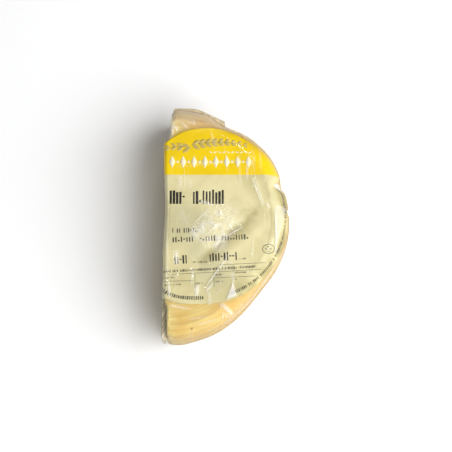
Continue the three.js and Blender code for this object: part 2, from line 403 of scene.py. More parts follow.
    def flatten(self, x: Array, y: Array, z: Array, on_cut: Array) -> tuple[Array, Array]:
        """Where points of the skin would lie if the top ran on level for ever.

        On the side that is the way over the shoulder and down, laid out along the radius. On the
        cut face it is the way over the cut edge and down, laid out along -x.

        Args:
            x, y, z: the points.
            on_cut: which of them are on the cut face.
        Returns:
            The flat places, rows x columns x 2, and the way from the shoulder's start.
        """
        angle = np.arctan2(y, x - self.axis_from_cut)
        start = self.wheel_radius(angle) - self.shoulder
        level = np.hypot(x - self.axis_from_cut, y) - start
        down = self.shoulder * self.bend(z) + np.maximum(0, self.height - self.shoulder - z)
        under = np.where(z <= 0, np.maximum(0, self.shoulder - self.foot - level), 0)
        run = np.where((level <= 0) & (z > self.height / 2), level, down + under)
        flat_x = self.axis_from_cut + (start + run) * np.cos(angle)
        flat_y = (start + run) * np.sin(angle)
        turned = np.arccos(np.clip((z - (self.height - self.cut_edge)) / self.cut_edge, 0.0, 1.0))
        over = self.cut_edge * turned + np.maximum(0, self.height - self.cut_edge - z)
        flat_x = np.where(on_cut, self.cut_edge + self.recess(y) - over, flat_x)
        return np.stack([flat_x, np.where(on_cut, y, flat_y)], axis=-1), run

    def ribs(self, run: Array, flat: Array, label: "LabelShape") -> Array:
        """How far a point lies in a groove between the mould's ribs, from 0 to 1.

        A raised cosine of the way over the skin, faded where the ribs begin and end, and round
        the label, under which the rind is smooth.

        Args:
            run: the way over the skin from the shoulder's start.
            flat: the points' flat places.
            label: the label's disc.
        Returns:
            The share of the groove's depth at each point.
        """
        wave = 0.5 - 0.5 * np.cos(2 * math.pi * (run + self.ribs_on_top) / self.rib_pitch)
        begins = smoothstep(run, -self.ribs_on_top, -self.ribs_on_top + self.rib_ease)
        ends = 1 - smoothstep(run, self.ribs_until - self.rib_ease, self.ribs_until)
        clear, beyond = self.ribs_clear_label, label.beyond_rim(flat[..., 0], flat[..., 1])
        bare = smoothstep(beyond, clear, clear + self.rib_ease)
        return wave * begins * ends * bare

    def roll(self, x: Array, y: Array, lift: Array) -> Array:
        """Rolls flat places onto the body and lifts them off along its normal.

        Level on the top, an arc of the shoulder's radius beyond its start, straight down after a
        quarter turn, and the same over the cut edge.

        Args:
            x, y: the flat places.
            lift: the height over the body's skin.
        Returns:
            The points, with a last axis of 3.
        """
        angle = np.arctan2(y, x - self.axis_from_cut)
        start = self.wheel_radius(angle) - self.shoulder
        run = np.hypot(x - self.axis_from_cut, y) - start
        bend = np.clip(run / self.shoulder, 0.0, RIGHT_ANGLE)
        down = self.shoulder * (1 - np.cos(bend)) + np.maximum(0, run - self.shoulder * RIGHT_ANGLE)
        rounded_z = self.height - down
        out = start + (self.shoulder + lift) * np.sin(bend) - self.side_inset(angle, rounded_z)
        out = np.where(run > 0, out, start + run)
        level_z = np.where(run > 0, rounded_z, self.top_height(x, y))
        point_x = self.axis_from_cut + out * np.cos(angle)
        point_y, point_z = out * np.sin(angle), level_z + lift * np.cos(bend)
        recess = self.recess(y)
        over = self.cut_edge + recess - x
        fold = np.clip(over / self.cut_edge, 0.0, RIGHT_ANGLE)
        sunk = self.cut_edge * (1 - np.cos(fold)) + np.maximum(0, over - self.cut_edge * RIGHT_ANGLE)
        cut = over > 0
        folded_x = recess + self.cut_edge - (self.cut_edge + lift) * np.sin(fold)
        point_x = np.where(cut, folded_x, point_x)
        point_y = np.where(cut, y, point_y)
        folded_z = self.top_height(x, y) - sunk + lift * np.cos(fold)
        point_z = np.where(cut, folded_z, point_z)
        return np.stack([point_x, point_y, point_z], axis=-1)


def grid_normals(points: Array) -> Array:
    """Unit normals of a grid of rings: the cross of the steps round and the steps up.

    Args:
        points: rows x columns x 3.
    Returns:
        The normals, in the same shape.
    """
    around = np.roll(points, -1, axis=1) - np.roll(points, 1, axis=1)
    upward = np.gradient(points, axis=0)
    normal = np.cross(around, upward)
    return normal / np.maximum(np.linalg.norm(normal, axis=-1, keepdims=True), 1e-9)


# Meshes


@dataclass(frozen=True)
class Placement:
    """Carries millimetres in the wheel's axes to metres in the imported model's frame."""

    shift_x: float
    shift_y: float

    @classmethod
    def from_frame(cls, label: "LabelShape") -> "Placement":
        """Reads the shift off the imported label: its outer face on the cut, and its middle.

        Args:
            label: the label's disc, and how far it lies over the body.
        Returns:
            The placement.
        """
        low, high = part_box(LABEL_NODE)
        middle = (low.y + high.y) / 2
        return cls(low.x / MM + label.outer, middle / MM - label.y)

    def to_frame(self, points: Array) -> Array:
        """The points in the frame, in metres."""
        return (points + np.array([self.shift_x, self.shift_y, 0.0])) * MM


@dataclass
class Blank:
    """The faces of a piece before it becomes a Blender mesh."""

    points: Array
    quads: Array
    triangles: Array
    flat: Array | None = None
    values: dict[str, Array] = field(default_factory=dict)

    @classmethod
    def from_rings(cls, rings: Array, first: Array, last: Array) -> "Blank":
        """A closed skin of rings between two poles: quads between rings, fans at the poles.

        Args:
            rings: rows x columns x 3, each row closed in itself.
            first, last: the poles.
        Returns:
            The blank: the first pole, the rings and the last pole, in that order.
        """
        rows, columns = rings.shape[:2]
        step = np.arange(columns)
        after = (step + 1) % columns
        ring = 1 + np.arange(rows - 1)[:, None] * columns
        quads = np.stack([ring + step, ring + after, ring + columns + after, ring + columns + step], -1)
        last_ring, pole = 1 + (rows - 1) * columns, np.full(columns, 1 + rows * columns)
        below = np.stack([np.zeros(columns, int), 1 + after, 1 + step], -1)
        above = np.stack([last_ring + step, last_ring + after, pole], -1)
        points = np.vstack([first[None], rings.reshape(-1, 3), last[None]])
        return cls(points, quads.reshape(-1, 4), np.vstack([below, above]))

    @classmethod
    def joined(cls, blanks: list["Blank"]) -> "Blank":
        """Several blanks as one, each one's faces renumbered by the points before it.

        Args:
            blanks: those to join, without flat places or values.
        Returns:
            One blank.
        """
        counts = np.cumsum([0] + [len(b.points) for b in blanks[:-1]])
        return cls(
            np.vstack([b.points for b in blanks]),
            np.vstack([b.quads + n for b, n in zip(blanks, counts)]),
            np.vstack([b.triangles + n for b, n in zip(blanks, counts)]),
        )

    def with_rings(self, flat: Array | None, values: dict[str, Array]) -> "Blank":
        """Adds flat places and values that were worked out for the rings, and extends them to the
        poles by the mean of the ring beside each.

        Args:
            flat: rows x columns x 2, or nothing.
            values: rows x columns each, by name.
        Returns:
            The blank itself.
        """
        if flat is not None:
            self.flat = np.vstack([flat[:1].mean(1), flat.reshape(-1, 2), flat[-1:].mean(1)])
        for name, value in values.items():
            self.values[name] = np.concatenate([[value[0].mean()], value.ravel(), [value[-1].mean()]])
        return self

    def piece(self, name: str, placement: Placement, finish: bpy.types.Material) -> bpy.types.Object:
        """Makes the Blender object, at the origin, with its place in its mesh.

        Args:
            name: the piece's name.
            placement: where the wheel's axes lie in the frame.
            finish: its material.
        Returns:
            The object, smooth shaded, with the flat places as its UV map, 1 for each 200 mm.
        """
        mesh = bpy.data.meshes.new(name)
        corners = self.quads.tolist() + self.triangles.tolist()
        mesh.from_pydata(placement.to_frame(self.points).tolist(), [], corners)
        mesh.polygons.foreach_set("use_smooth", np.ones(len(mesh.polygons), bool))
        if self.flat is not None:
            at_corner = np.zeros(len(mesh.loops), np.int32)
            mesh.loops.foreach_get("vertex_index", at_corner)
            layer = mesh.uv_layers.new(name="flat")
            layer.data.foreach_set("uv", flat_number(self.flat[at_corner]).ravel())
        for value_name, value in self.values.items():
            attribute = mesh.attributes.new(value_name, "FLOAT", "POINT")
            attribute.data.foreach_set("value", value.astype(np.float32))
        mesh.materials.append(finish)
        mesh.update()
        made = bpy.data.objects.new(name, mesh)
        bpy.context.scene.collection.objects.link(made)
        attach(made, ROOT)
        log.info("%s: %d faces", name, len(mesh.polygons))
        return made


# Finishes


def flat_number(millimetres: float | Array) -> float | Array:
    """A flat place as the UV map holds it."""
    return millimetres * UV_SCALE + 0.5


def tint(red: int, green: int, blue: int) -> Colour:
    """A display colour, from 0 to 255, as the linear colour that shaders take.

    Args:
        red, green, blue: its parts.
    Returns:
        The linear colour, opaque.
    """
    display = (np.array([red, green, blue]) / 255.0).tolist()
    linear = [c / 12.92 if c <= 0.04045 else ((c + 0.055) / 1.055) ** 2.4 for c in display]
    return (linear[0], linear[1], linear[2], 1.0)


@dataclass(frozen=True)
class Patches:
    """Patches of noise in a finish, with so many features in a metre.

    They begin where the noise passes low and are full above high.
    """

    scale: float
    detail: float
    low: float
    high: float
    warp: float = 0.0


class Sheet:
    """A material's node tree, with short ways to add nodes and to join them."""

    def __init__(self, name: str) -> None:
        """Starts an empty material with an output.

        Args:
            name: the material's name.
        """
        self.material = bpy.data.materials.new(name)
        self.material.use_nodes = True
        self.nodes = self.material.node_tree.nodes
        self.nodes.clear()
        self.output = self.nodes.new("ShaderNodeOutputMaterial")

    def node(self, kind: str, inputs: dict | None = None, **settings: object) -> Node:
        """Adds a node.

        Args:
            kind: the node's Blender type.
            inputs: sockets to join or numbers to set, by input name or number.
            settings: properties of the node.
        Returns:
            The node.
        """
        made = self.nodes.new(kind)
        for key, value in settings.items():
            setattr(made, key, value)
        for key, value in (inputs or {}).items():
            self.feed(made.inputs[key], value)
        return made

    def feed(self, socket: Socket, value: object) -> None:
        """Joins another node's socket to this one, or sets its number or colour.

        Args:
            socket: the input.
            value: a socket, a number or a colour.
        """
        if isinstance(value, Socket):
            self.material.node_tree.links.new(value, socket)
        else:
            socket.default_value = value

    def math(self, operation: str, *values: object) -> Socket:
        """A Math node's result."""
        return self.node("ShaderNodeMath", dict(enumerate(values)), operation=operation).outputs[0]

    def times(self, first: object, second: object) -> Socket:
        """The product of two values."""
        return self.math("MULTIPLY", first, second)

    def between(self, value: object, low: float, high: float) -> Socket:
        """0 where the value is below low and 1 above high, smooth between.

        Args:
            value: a socket or a number.
            low, high: where it starts and ends to rise.
        Returns:
            The share.
        """
        inputs = {0: value, 1: low, 2: high, 3: 0.0, 4: 1.0}
        settings = {"interpolation_type": "SMOOTHSTEP"}
        return self.node("ShaderNodeMapRange", inputs, **settings).outputs[0]

    def mix(self, share: object, first: object, second: object) -> Socket:
        """A colour between two others."""
        inputs = {0: share, 6: first, 7: second}
        return self.node("ShaderNodeMix", inputs, data_type="RGBA").outputs[2]

    def value(self, name: str) -> Socket:
        """A value that the mesh holds at its points."""
        return self.node("ShaderNodeAttribute", attribute_name=name).outputs["Fac"]

    def place(self) -> Socket:
        """The point's place on the object, in metres."""
        return self.node("ShaderNodeTexCoord").outputs["Object"]

    def flat(self) -> tuple[Socket, Socket]:
        """The point's flat place, as the UV map's two numbers.

        Returns:
            A socket for x and one for y.
        """
        uv = self.node("ShaderNodeUVMap", uv_map="flat").outputs[0]
        split = self.node("ShaderNodeSeparateXYZ", {0: uv})
        return split.outputs[0], split.outputs[1]

    def near(self, at: Place, full: float, reach: float) -> Socket:
        """1 within `full` millimetres of a flat place, falling to 0 at `reach`.

        Args:
            at: the flat place.
            full, reach: the two distances.
        Returns:
            The share.
        """
        uv = self.node("ShaderNodeUVMap", uv_map="flat").outputs[0]
        middle = (flat_number(at[0]), flat_number(at[1]), 0.0)
        away = self.node("ShaderNodeVectorMath", {0: uv, 1: middle}, operation="DISTANCE")
        return self.between(away.outputs["Value"], reach * UV_SCALE, full * UV_SCALE)

    def noise(self, scale: float, detail: float = 3.0, distortion: float = 0.0) -> Socket:
        """Noise from 0 to 1, with so many features in a metre."""
        inputs = {"Vector": self.place(), "Scale": scale, "Detail": detail, "Distortion": distortion}
        return self.node("ShaderNodeTexNoise", inputs).outputs["Fac"]

    def patches(self, kind: Patches, more: Socket | None = None) -> Socket:
        """1 in patches of noise and 0 between them, and more of them where `more` is high.

        Args:
            kind: the patches.
            more: a value that is added to the noise.
        Returns:
            The share.
        """
        value = self.noise(kind.scale, kind.detail, kind.warp)
        if more is not None:
            value = self.math("ADD", value, more)
        return self.between(value, kind.low, kind.high)

    def bump(self, height: Socket, distance: float, strength: float = 1.0) -> Socket:
        """A normal bent by a height from 0 to 1 that stands for `distance` metres."""
        inputs = {"Height": height, "Distance": distance, "Strength": strength}
        return self.node("ShaderNodeBump", inputs).outputs[0]

    def solid(self, colour: object, roughness: float, more: dict | None = None) -> Node:
        """A shader for a solid surface, with more inputs by their names."""
        inputs = {"Base Color": colour, "Roughness": roughness} | (more or {})
        return self.node("ShaderNodeBsdfPrincipled", inputs)

    def see_through(self, colour: object = NO_TINT) -> Node:
        """A shader that only tints what is behind it."""
        return self.node("ShaderNodeBsdfTransparent", {"Color": colour})

    def blend(self, share: object, first: Node, second: Node) -> Node:
        """A shader between two others."""
        return self.node("ShaderNodeMixShader", {0: share, 1: first.outputs[0], 2: second.outputs[0]})

    def done(self, shader: Node) -> bpy.types.Material:
        """Joins the shader to the output."""
        self.feed(self.output.inputs["Surface"], shader.outputs[0])
        return self.material


@dataclass(frozen=True)
class CheeseFinish:
    """Rind with pale crests, orange grooves and fine striations, and an ivory cut face."""

    crest: Colour = tint(233, 219, 157)
    # Painted light: the rind pales towards the crest colour from the shoulder down, where it turns from
    # the lamps.
    painted_light_at_rim: float = 0.45
    groove: Colour = tint(217, 184, 116)
    groove_share: float = 0.6
    blush: Colour = tint(224, 189, 117)
    blushes: Patches = Patches(32, 4, 0.42, 0.72, 0.4)
    more_blush: float = 0.22
    more_blush_from: Stretch = (8.0, 32.0)
    # Painted shade: a tan that darkens the rind on the side that faces the key light.
    painted_shade_tan: Colour = tint(205, 172, 112)
    painted_shade_tan_share: float = 0.5
    painted_shade_tan_from: Stretch = (26.0, 62.0)
    line_share: float = 0.34
    line_noise: tuple[float, float] = (60, 3)
    line_frequency: float = 2.1
    line_wander: float = 9.0
    line_from: float = 0.35
    paste: Colour = tint(240, 228, 190)
    # Darker paste: its noisy mottles, and painted shade in the cut face's holes.
    mottle_and_painted_hole_shade: Colour = tint(228, 208, 156)
    mottles: Patches = Patches(90, 5, 0.35, 0.7)
    mottle_share: float = 0.35
    spot: Colour = tint(158, 98, 44)
    spot_at: Place = (23.3, -93.1)
    spot_radius: float = 1.3
    grain: float = 0.00025
    grain_noise: tuple[float, float] = (700, 4)
    glow: float = 0.12
    glow_reach: tuple[float, float, float] = (0.004, 0.0025, 0.0012)
    roughness: float = 0.48

    def material(self) -> bpy.types.Material:
        """Mixes rind and paste by the mesh's own values.

        The rind's colour follows the grooves, broad noise and the way from the cut, and thin
        striations follow the way over the skin, bent by noise. Far from the cut the rind darkens
        towards tan, painted shade on the side that faces the key light. From the shoulder down it
        pales towards the crest colour, painted light where the rind turns from the lamps. The cut
        face's holes darken with their depth, painted shade in the eyes.

        Returns:
            The material.
        """
        sheet = Sheet("cheese")
        across, _ = sheet.flat()
        ruddy = sheet.between(across, *(flat_number(edge) for edge in self.more_blush_from))
        blushed = sheet.patches(self.blushes, sheet.times(ruddy, self.more_blush))
        rind = sheet.mix(blushed, self.crest, self.blush)
        # Painted shade: the rind darkens towards tan away from the cut, where it faces the key light.
        painted_shade_tan = sheet.between(across, *(flat_number(edge) for edge in self.painted_shade_tan_from))
        rind = sheet.mix(sheet.times(painted_shade_tan, self.painted_shade_tan_share), rind, self.painted_shade_tan)
        rind = sheet.mix(sheet.times(sheet.value("groove"), self.groove_share), rind, self.groove)
        wander = sheet.times(sheet.noise(*self.line_noise), self.line_wander)
        phase = sheet.math("ADD", sheet.times(sheet.value("run"), self.line_frequency), wander)
        line = sheet.between(sheet.math("SINE", phase), self.line_from, 1.0)
        rind = sheet.mix(sheet.times(line, self.line_share), rind, self.groove)
        # Painted light: paler from the shoulder down, by the mesh's rim value.
        rind = sheet.mix(sheet.times(sheet.value("rim"), self.painted_light_at_rim), rind, self.crest)
        spot = sheet.near(self.spot_at, 0.3 * self.spot_radius, self.spot_radius)
        rind = sheet.mix(spot, rind, self.spot)
        mottled = sheet.times(sheet.patches(self.mottles), self.mottle_share)
        paste = sheet.mix(mottled, self.paste, self.mottle_and_painted_hole_shade)
        # Painted shade: the holes darken with their depth.
        paste = sheet.mix(sheet.value("eye"), paste, self.mottle_and_painted_hole_shade)
        more = {
            "Normal": sheet.bump(sheet.noise(*self.grain_noise), self.grain),
            "Subsurface Weight": self.glow,
            "Subsurface Radius": self.glow_reach,
            "Subsurface Scale": 1.0,
        }
        colour = sheet.mix(sheet.value("paste"), rind, paste)
        return sheet.done(sheet.solid(colour, self.roughness, more))


@dataclass(frozen=True)
class PaperFinish:
    """Pale cream label paper, printed yellow above a straight edge."""

    cream: Colour = tint(234, 229, 194)
    damp_and_painted_shade: Colour = tint(213, 207, 169)
    damp_patches: Patches = Patches(22, 3, 0.36, 0.66, 0.6)
    fibres: Patches = Patches(900, 5, 0.3, 0.75)
    fibre_share: float = 0.12
    fibre_height: float = 0.00006
    # Painted shade: an olive that darkens the paper in bands.
    clinging_and_painted_shade: Colour = tint(160, 152, 103)
    painted_shade_patches: Patches = Patches(70, 4, 0.2, 0.75, 0.4)
    grey: Colour = tint(200, 199, 174)
    grey_share: float = 0.65
    greyed: tuple[tuple[float, float, float], ...] = (
        (16.0, -4.0, 30.0),
        (41.0, -46.0, 24.0),
        (29.0, -28.0, 14.0),
    )
    yellow: Colour = tint(247, 218, 6)
    yellow_deep: Colour = tint(236, 206, 4)
    deep_patches: Patches = Patches(30, 3, 0.35, 0.7)
    field_edge: float = 37.7
    field_blur: float = 0.15
    roughness: float = 0.55

    def material(self) -> bpy.types.Material:
        """Mixes cream paper and the yellow field above its edge.

        The paper has darker patches and fine fibres by noise, and painted shade darkens it in
        bands along fold flanks, over the shoulders and round the rim. Each greyed patch is a flat
        place and its reach.

        Returns:
            The material.
        """
        sheet = Sheet("label_paper")
        _, along = sheet.flat()
        paper = sheet.mix(sheet.patches(self.damp_patches), self.cream, self.damp_and_painted_shade)
        for at_x, at_y, reach in self.greyed:
            near = sheet.near((at_x, at_y), 0.2 * reach, reach)
            paper = sheet.mix(sheet.times(near, self.grey_share), paper, self.grey)
        # Painted shade: the paper darkens in the drape's bands, in noisy patches.
        clings_and_painted_shade = sheet.times(sheet.value("damp_and_painted_shade"), sheet.patches(self.painted_shade_patches))
        paper = sheet.mix(clings_and_painted_shade, paper, self.clinging_and_painted_shade)
        fibre = sheet.patches(self.fibres)
        paper = sheet.mix(sheet.times(fibre, self.fibre_share), paper, self.damp_and_painted_shade)
        yellow = sheet.mix(sheet.patches(self.deep_patches), self.yellow, self.yellow_deep)
        edge, blur = flat_number(self.field_edge), self.field_blur * UV_SCALE
        colour = sheet.mix(sheet.between(along, edge - blur, edge + blur), paper, yellow)
        more = {"Normal": sheet.bump(fibre, self.fibre_height)}
        return sheet.done(sheet.solid(colour, self.roughness, more))


@dataclass(frozen=True)
class InkFinish:
    """Printing ink of one colour, worn a little thin in specks."""

    name: str
    ink: Colour
    worn: Colour
    wear: float = 0.35
    specks: Patches = Patches(420, 4, 0.5, 0.72)
    roughness: float = 0.5

    def material(self) -> bpy.types.Material:
        """The ink's colour, mixed with its worn colour by fine noise.

        Returns:
            The material.
        """
        sheet = Sheet(self.name)
        worn = sheet.times(sheet.patches(self.specks), self.wear)
        return sheet.done(sheet.solid(sheet.mix(worn, self.ink, self.worn), self.roughness))


@dataclass(frozen=True)
class FilmFinish:
    """Clear shrink film: see-through, glossy at a slant, darker edge-on by painted shade, and
    whitened where it is creased, partly by painted glints.
    """

    clear: Colour = tint(252, 251, 246)
    # Painted shade: the film's tint darkens at a slant and edge-on, over the shoulders and the
    # silhouette.
    painted_slant_shade: Colour = tint(227, 213, 171)
    painted_slant_shade_from: Stretch = (0.03, 0.7)
    painted_edge_shade: Colour = tint(188, 168, 136)
    painted_edge_shade_from: Stretch = (0.86, 1.0)
    clinging_and_painted_shade: float = 0.75
    index: float = 1.5
    most_gloss: float = 0.16
    roughness: float = 0.09
    ripple: float = 0.00035
    ripple_noise: tuple[float, float, float] = (180, 3, 0.5)
    # Painted glints: a pale diffuse white on creases and crumples, partly crease whitening.
    haze_and_painted_light: Colour = tint(250, 249, 244)
    most_painted_glint: float = 0.9
    # Painted sheen: a faint veil in noisy patches.
    painted_sheen: float = 0.005
    painted_sheen_patches: Patches = Patches(60, 4, 0.3, 0.8)

    def material(self) -> bpy.types.Material:
        """Mixes transparency and gloss by Fresnel, and then a pale haze by the mesh's creases, which is
        partly crease whitening and partly painted glints and a faint painted sheen.

        At a slant the see-through tint darkens, and more so edge-on: painted shade over the
        shoulders and along the silhouette, less so where the film lies tight on the cut face.

        Returns:
            The material.
        """
        sheet = Sheet("film")
        slant = sheet.node("ShaderNodeLayerWeight", {"Blend": 0.5}).outputs["Facing"]
        loose = sheet.math("SUBTRACT", 1.0, sheet.times(sheet.value("clings_and_painted_shade"), self.clinging_and_painted_shade))
        # Painted shade by the slant to the view, cut back on the cut face.
        slant_shade_share = sheet.times(sheet.between(slant, *self.painted_slant_shade_from), loose)
        dark = sheet.times(sheet.between(slant, *self.painted_edge_shade_from), loose)
        tone = sheet.mix(dark, sheet.mix(slant_shade_share, self.clear, self.painted_slant_shade), self.painted_edge_shade)
        ripple = sheet.bump(sheet.noise(*self.ripple_noise), self.ripple, 0.5)
        inputs = {"Color": NO_TINT, "Roughness": self.roughness, "Normal": ripple}
        shine = sheet.node("ShaderNodeBsdfAnisotropic", inputs)
        mirrored = sheet.node("ShaderNodeFresnel", {"IOR": self.index, "Normal": ripple}).outputs[0]
        mirrored = sheet.math("MINIMUM", mirrored, self.most_gloss)
        glossy = sheet.blend(mirrored, sheet.see_through(tone), shine)
        pale = sheet.node("ShaderNodeBsdfDiffuse", {"Color": self.haze_and_painted_light, "Roughness": 0.4})
        painted_sheen = sheet.times(sheet.patches(self.painted_sheen_patches), self.painted_sheen)
        # Painted glints and sheen, partly crease whitening, by the mesh's haze value.
        painted_light_share = sheet.math("MINIMUM", sheet.math("ADD", sheet.value("haze_and_painted_light"), painted_sheen), self.most_painted_glint)
        return sheet.done(sheet.blend(painted_light_share, glossy, pale))


@dataclass(frozen=True)
class FoldFinish:
    """Doubled film, tinted by what it is pressed to, with painted shade along its edge and
    painted highlights on its crimps.
    """

    name: str
    tone: Colour
    dark: Colour
    pale: Colour
    cover: float
    dark_from: float = 0.8
    dark_to: float = 0.98
    pale_share: float = 0.6
    roughness: float = 0.28

    def material(self) -> bpy.types.Material:
        """Mixes a glossy tint over transparency, by the mesh's place from root to edge.

        Returns:
            The material.
        """
        sheet = Sheet(self.name)
        # Painted highlights: the crimps' crests are paler.
        crimps = sheet.times(sheet.value("crimp"), self.pale_share)
        colour = sheet.mix(crimps, self.tone, self.pale)
        # Painted shade: darker towards the fold's outer edge.
        rim = sheet.between(sheet.value("edge"), self.dark_from, self.dark_to)
        colour = sheet.mix(rim, colour, self.dark)
        solid = sheet.solid(colour, self.roughness)
        return sheet.done(sheet.blend(self.cover, sheet.see_through(), solid))


EAR = FoldFinish("film_ear", tint(218, 202, 164), tint(146, 136, 110), tint(236, 224, 190), 0.85)
FIN = FoldFinish(
    "film_fin", tint(206, 196, 172), tint(168, 158, 134), tint(246, 242, 230), 0.75, dark_from=0.9
)


# The cheese


@dataclass
class CheeseHalf:
    """The half wheel itself, just inside the film: ribbed rind and an open-textured cut face."""

    form: WheelForm
    label: "LabelShape"
    drape: "Drape"
    inside: float = 0.25
    rib_depth: float = 0.9
    least_rib: float = 0.55
    rib_patches: float = 19.0
    pore_depth: float = 0.1
    pore_size: float = 1.9
    wave_depth: float = 0.15
    wave_size: float = 12.0
    rind: float = 3.0
    eyes: int = 34
    eyes_along: Stretch = (-90.0, 88.0)
    eyes_up: Stretch = (8.0, 64.0)
    eye_radius: Stretch = (0.9, 2.4)
    eye_flatness: float = 1.3
    eye_depth_share: float = 0.7
    seed: int = 11

    def build(self, placement: Placement) -> bpy.types.Object:
        """Makes the piece `cheese`.

        Each point of the form's skin is moved in along its normal, by the clearance to the film,
        the rib groove, small noise, and on the cut face by the eyes.

        Args:
            placement: where the wheel's axes lie in the frame.
        Returns:
            The object.
        """
        skin = self.form.skin(columns=380, base=8, foot=10, wall=40, shoulder=28, top=100)
        flat_x, flat_y = skin.flat[..., 0], skin.flat[..., 1]
        groove = np.where(skin.on_cut, 0.0, self.form.ribs(skin.run, skin.flat, self.label))
        uneven = 0.5 + 0.5 * value_noise(flat_x, flat_y, self.rib_patches, self.seed)
        groove = groove * (self.least_rib + (1 - self.least_rib) * uneven)
        pores = self.pore_depth * value_noise(flat_x, flat_y, self.pore_size, self.seed + 1)
        waves = self.wave_depth * value_noise(flat_x, flat_y, self.wave_size, self.seed + 2)
        eye = self.eye_depth(skin)
        pressed = np.maximum(0.0, -self.drape.shared(flat_x, flat_y))
        depth = self.inside + self.rib_depth * groove + np.abs(pores) + np.abs(waves) + eye + pressed
        points = skin.points - depth[..., None] * skin.normals
        points[..., 2] = np.maximum(points[..., 2], self.inside)
        first = skin.first_pole + np.array([0.0, 0.0, self.inside])
        last = skin.last_pole - np.array([0.0, 0.0, self.inside])
        blank = Blank.from_rings(points, first, last).with_rings(
            skin.flat,
            {
                "groove": groove,
                "run": skin.run,
                # rim: where painted light pales the rind, from the shoulder down.
                "rim": smoothstep(skin.run, 2.0, 20.0),
                "paste": self.paste_share(skin),
                # eye: the holes' depth, which darkens them as painted shade.
                "eye": np.clip(eye, 0.0, 1.0),
            },
        )
        made = blank.piece("cheese", placement, CheeseFinish().material())
        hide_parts(BAG_NODE)
        return made

    def paste_share(self, skin: Skin) -> Array:
        """1 on the cut face, falling to 0 in the rind that shows round its border.

        Args:
            skin: the form's skin.
        Returns:
            The share at each point.
        """
        x, y, z = np.moveaxis(skin.points, -1, 0)
        from_side = self.form.radius - np.hypot(x - self.form.axis_from_cut, y)
        border = np.minimum(from_side, np.minimum(z, self.form.height - z))
        return np.where(skin.on_cut, smoothstep(border, 0.6 * self.rind, 1.4 * self.rind), 0.0)

    def eye_depth(self, skin: Skin) -> Array:
        """Depth of the small holes in the cut face: flattened half spheres at drawn places.

        Args:
            skin: the form's skin.
        Returns:
            The depth at each point.
        """
        draw = np.random.default_rng(self.seed)
        y, z = skin.points[..., 1], skin.points[..., 2]
        depth = np.zeros_like(y)
        for _ in range(self.eyes):
            at_y, at_z = draw.uniform(*self.eyes_along), draw.uniform(*self.eyes_up)
            radius = draw.uniform(*self.eye_radius)
            share = np.hypot(y - at_y, (z - at_z) * self.eye_flatness) / radius
            hole = self.eye_depth_share * radius * np.sqrt(np.maximum(0.0, 1 - share**2))
            depth = np.maximum(depth, hole)
        return np.where(skin.on_cut, depth, 0.0)


# The film's creases


@dataclass(frozen=True)
class Crease:
    """A straight crease between two flat places: a ridge, with painted light along its top, a
    painted glint on the film and a painted shade on the paper.
    """

    start: Place
    end: Place
    height: float
    width: float
    haze_and_painted_light: float = 0.0
    painted_light_width: float = 0.7

    @classmethod
    def band(cls, start: Place, end: Place, haze_and_painted_light: float, painted_light_width: float) -> "Crease":
        """A band of painted light without a ridge."""
        return cls(start, end, 0.0, 1.0, haze_and_painted_light, painted_light_width)

    def tapered(self, x: Array, y: Array, full: float, width: float) -> Array:
        """So much times a bell of the distance, tapered by the root of a sine at both ends."""
        share, away = beside(x, y, self.start, self.end)
        return full * bell(away, width) * np.sqrt(np.sin(math.pi * share).clip(0, 1))

    def relief(self, x: Array, y: Array) -> Array:
        """The ridge's height."""
        return self.tapered(x, y, self.height, self.width)

    def painted_light_band(self, x: Array, y: Array) -> Array:
        """The painted light: a glint on the film, a shade on the paper."""
        return self.tapered(x, y, self.haze_and_painted_light, self.painted_light_width)


@dataclass(frozen=True)
class Facet:
    """A triangle of film that stands off what is below, with a painted glint from edge to edge."""

    corners: tuple[Place, Place, Place]
    lift: float
    haze_and_painted_light: float
    border: Stretch = (-0.5, 0.9)

    def share(self, x: Array, y: Array) -> Array:
        """1 inside the triangle and 0 outside: smoothstep of the distance to its nearest side.

        Args:
            x, y: the flat places.
        Returns:
            The share at each point.
        """
        inside = np.full_like(x, np.inf)
        middle = np.mean(self.corners, axis=0)
        for here, there in zip(self.corners, self.corners[1:] + self.corners[:1]):
            run_x, run_y = there[0] - here[0], there[1] - here[1]
            length = math.hypot(run_x, run_y)
            side = (run_x * (y - here[1]) - run_y * (x - here[0])) / length
            facing = run_x * (middle[1] - here[1]) - run_y * (middle[0] - here[0])
            inside = np.minimum(inside, side * math.copysign(1.0, facing))
        return smoothstep(inside, *self.border)


@dataclass(frozen=True)
class LabelShape:
    """The label's disc in flat places, and how far it lies over the body."""

    x: float = 34.0
    y: float = 3.5
    radius: float = 74.5
    outer: float = 1.0
    pulled: tuple[Swelling, ...] = (
        Swelling(-113, 3.4, 15),
        Swelling(115, -2.6, 9),
        Swelling(123, -3.6, 6),
        Swelling(77, 2.6, 8),
    )

    def reach(self, turn: Array) -> Array:
        """The rim's radius in a direction: the disc's, plus a bell wherever the film pulled it."""
        return self.radius + sum(p.by * bell(np.degrees(turn) - p.at, p.spread) for p in self.pulled)

    def beyond_rim(self, x: Array, y: Array) -> Array:
        """How far outside the rim a flat place is, below zero inside."""
        return np.hypot(x - self.x, y - self.y) - self.reach(np.arctan2(y - self.y, x - self.x))

    def ends(self, x: Array) -> tuple[Array, Array]:
        """The rim's y at each x, on the near side and on the far side, read off its polar form.

        Args:
            x: places across the label.
        Returns:
            The near y and the far y at each.
        """
        turn = np.linspace(0.0, math.pi, 2001)
        found = []
        for side in (-1, 1):
            rim = self.reach(side * turn)
            rim_x, rim_y = self.x + rim * np.cos(turn), self.y + side * rim * np.sin(turn)
            found.append(np.interp(x, rim_x[::-1], rim_y[::-1]))
        return found[0], found[1]


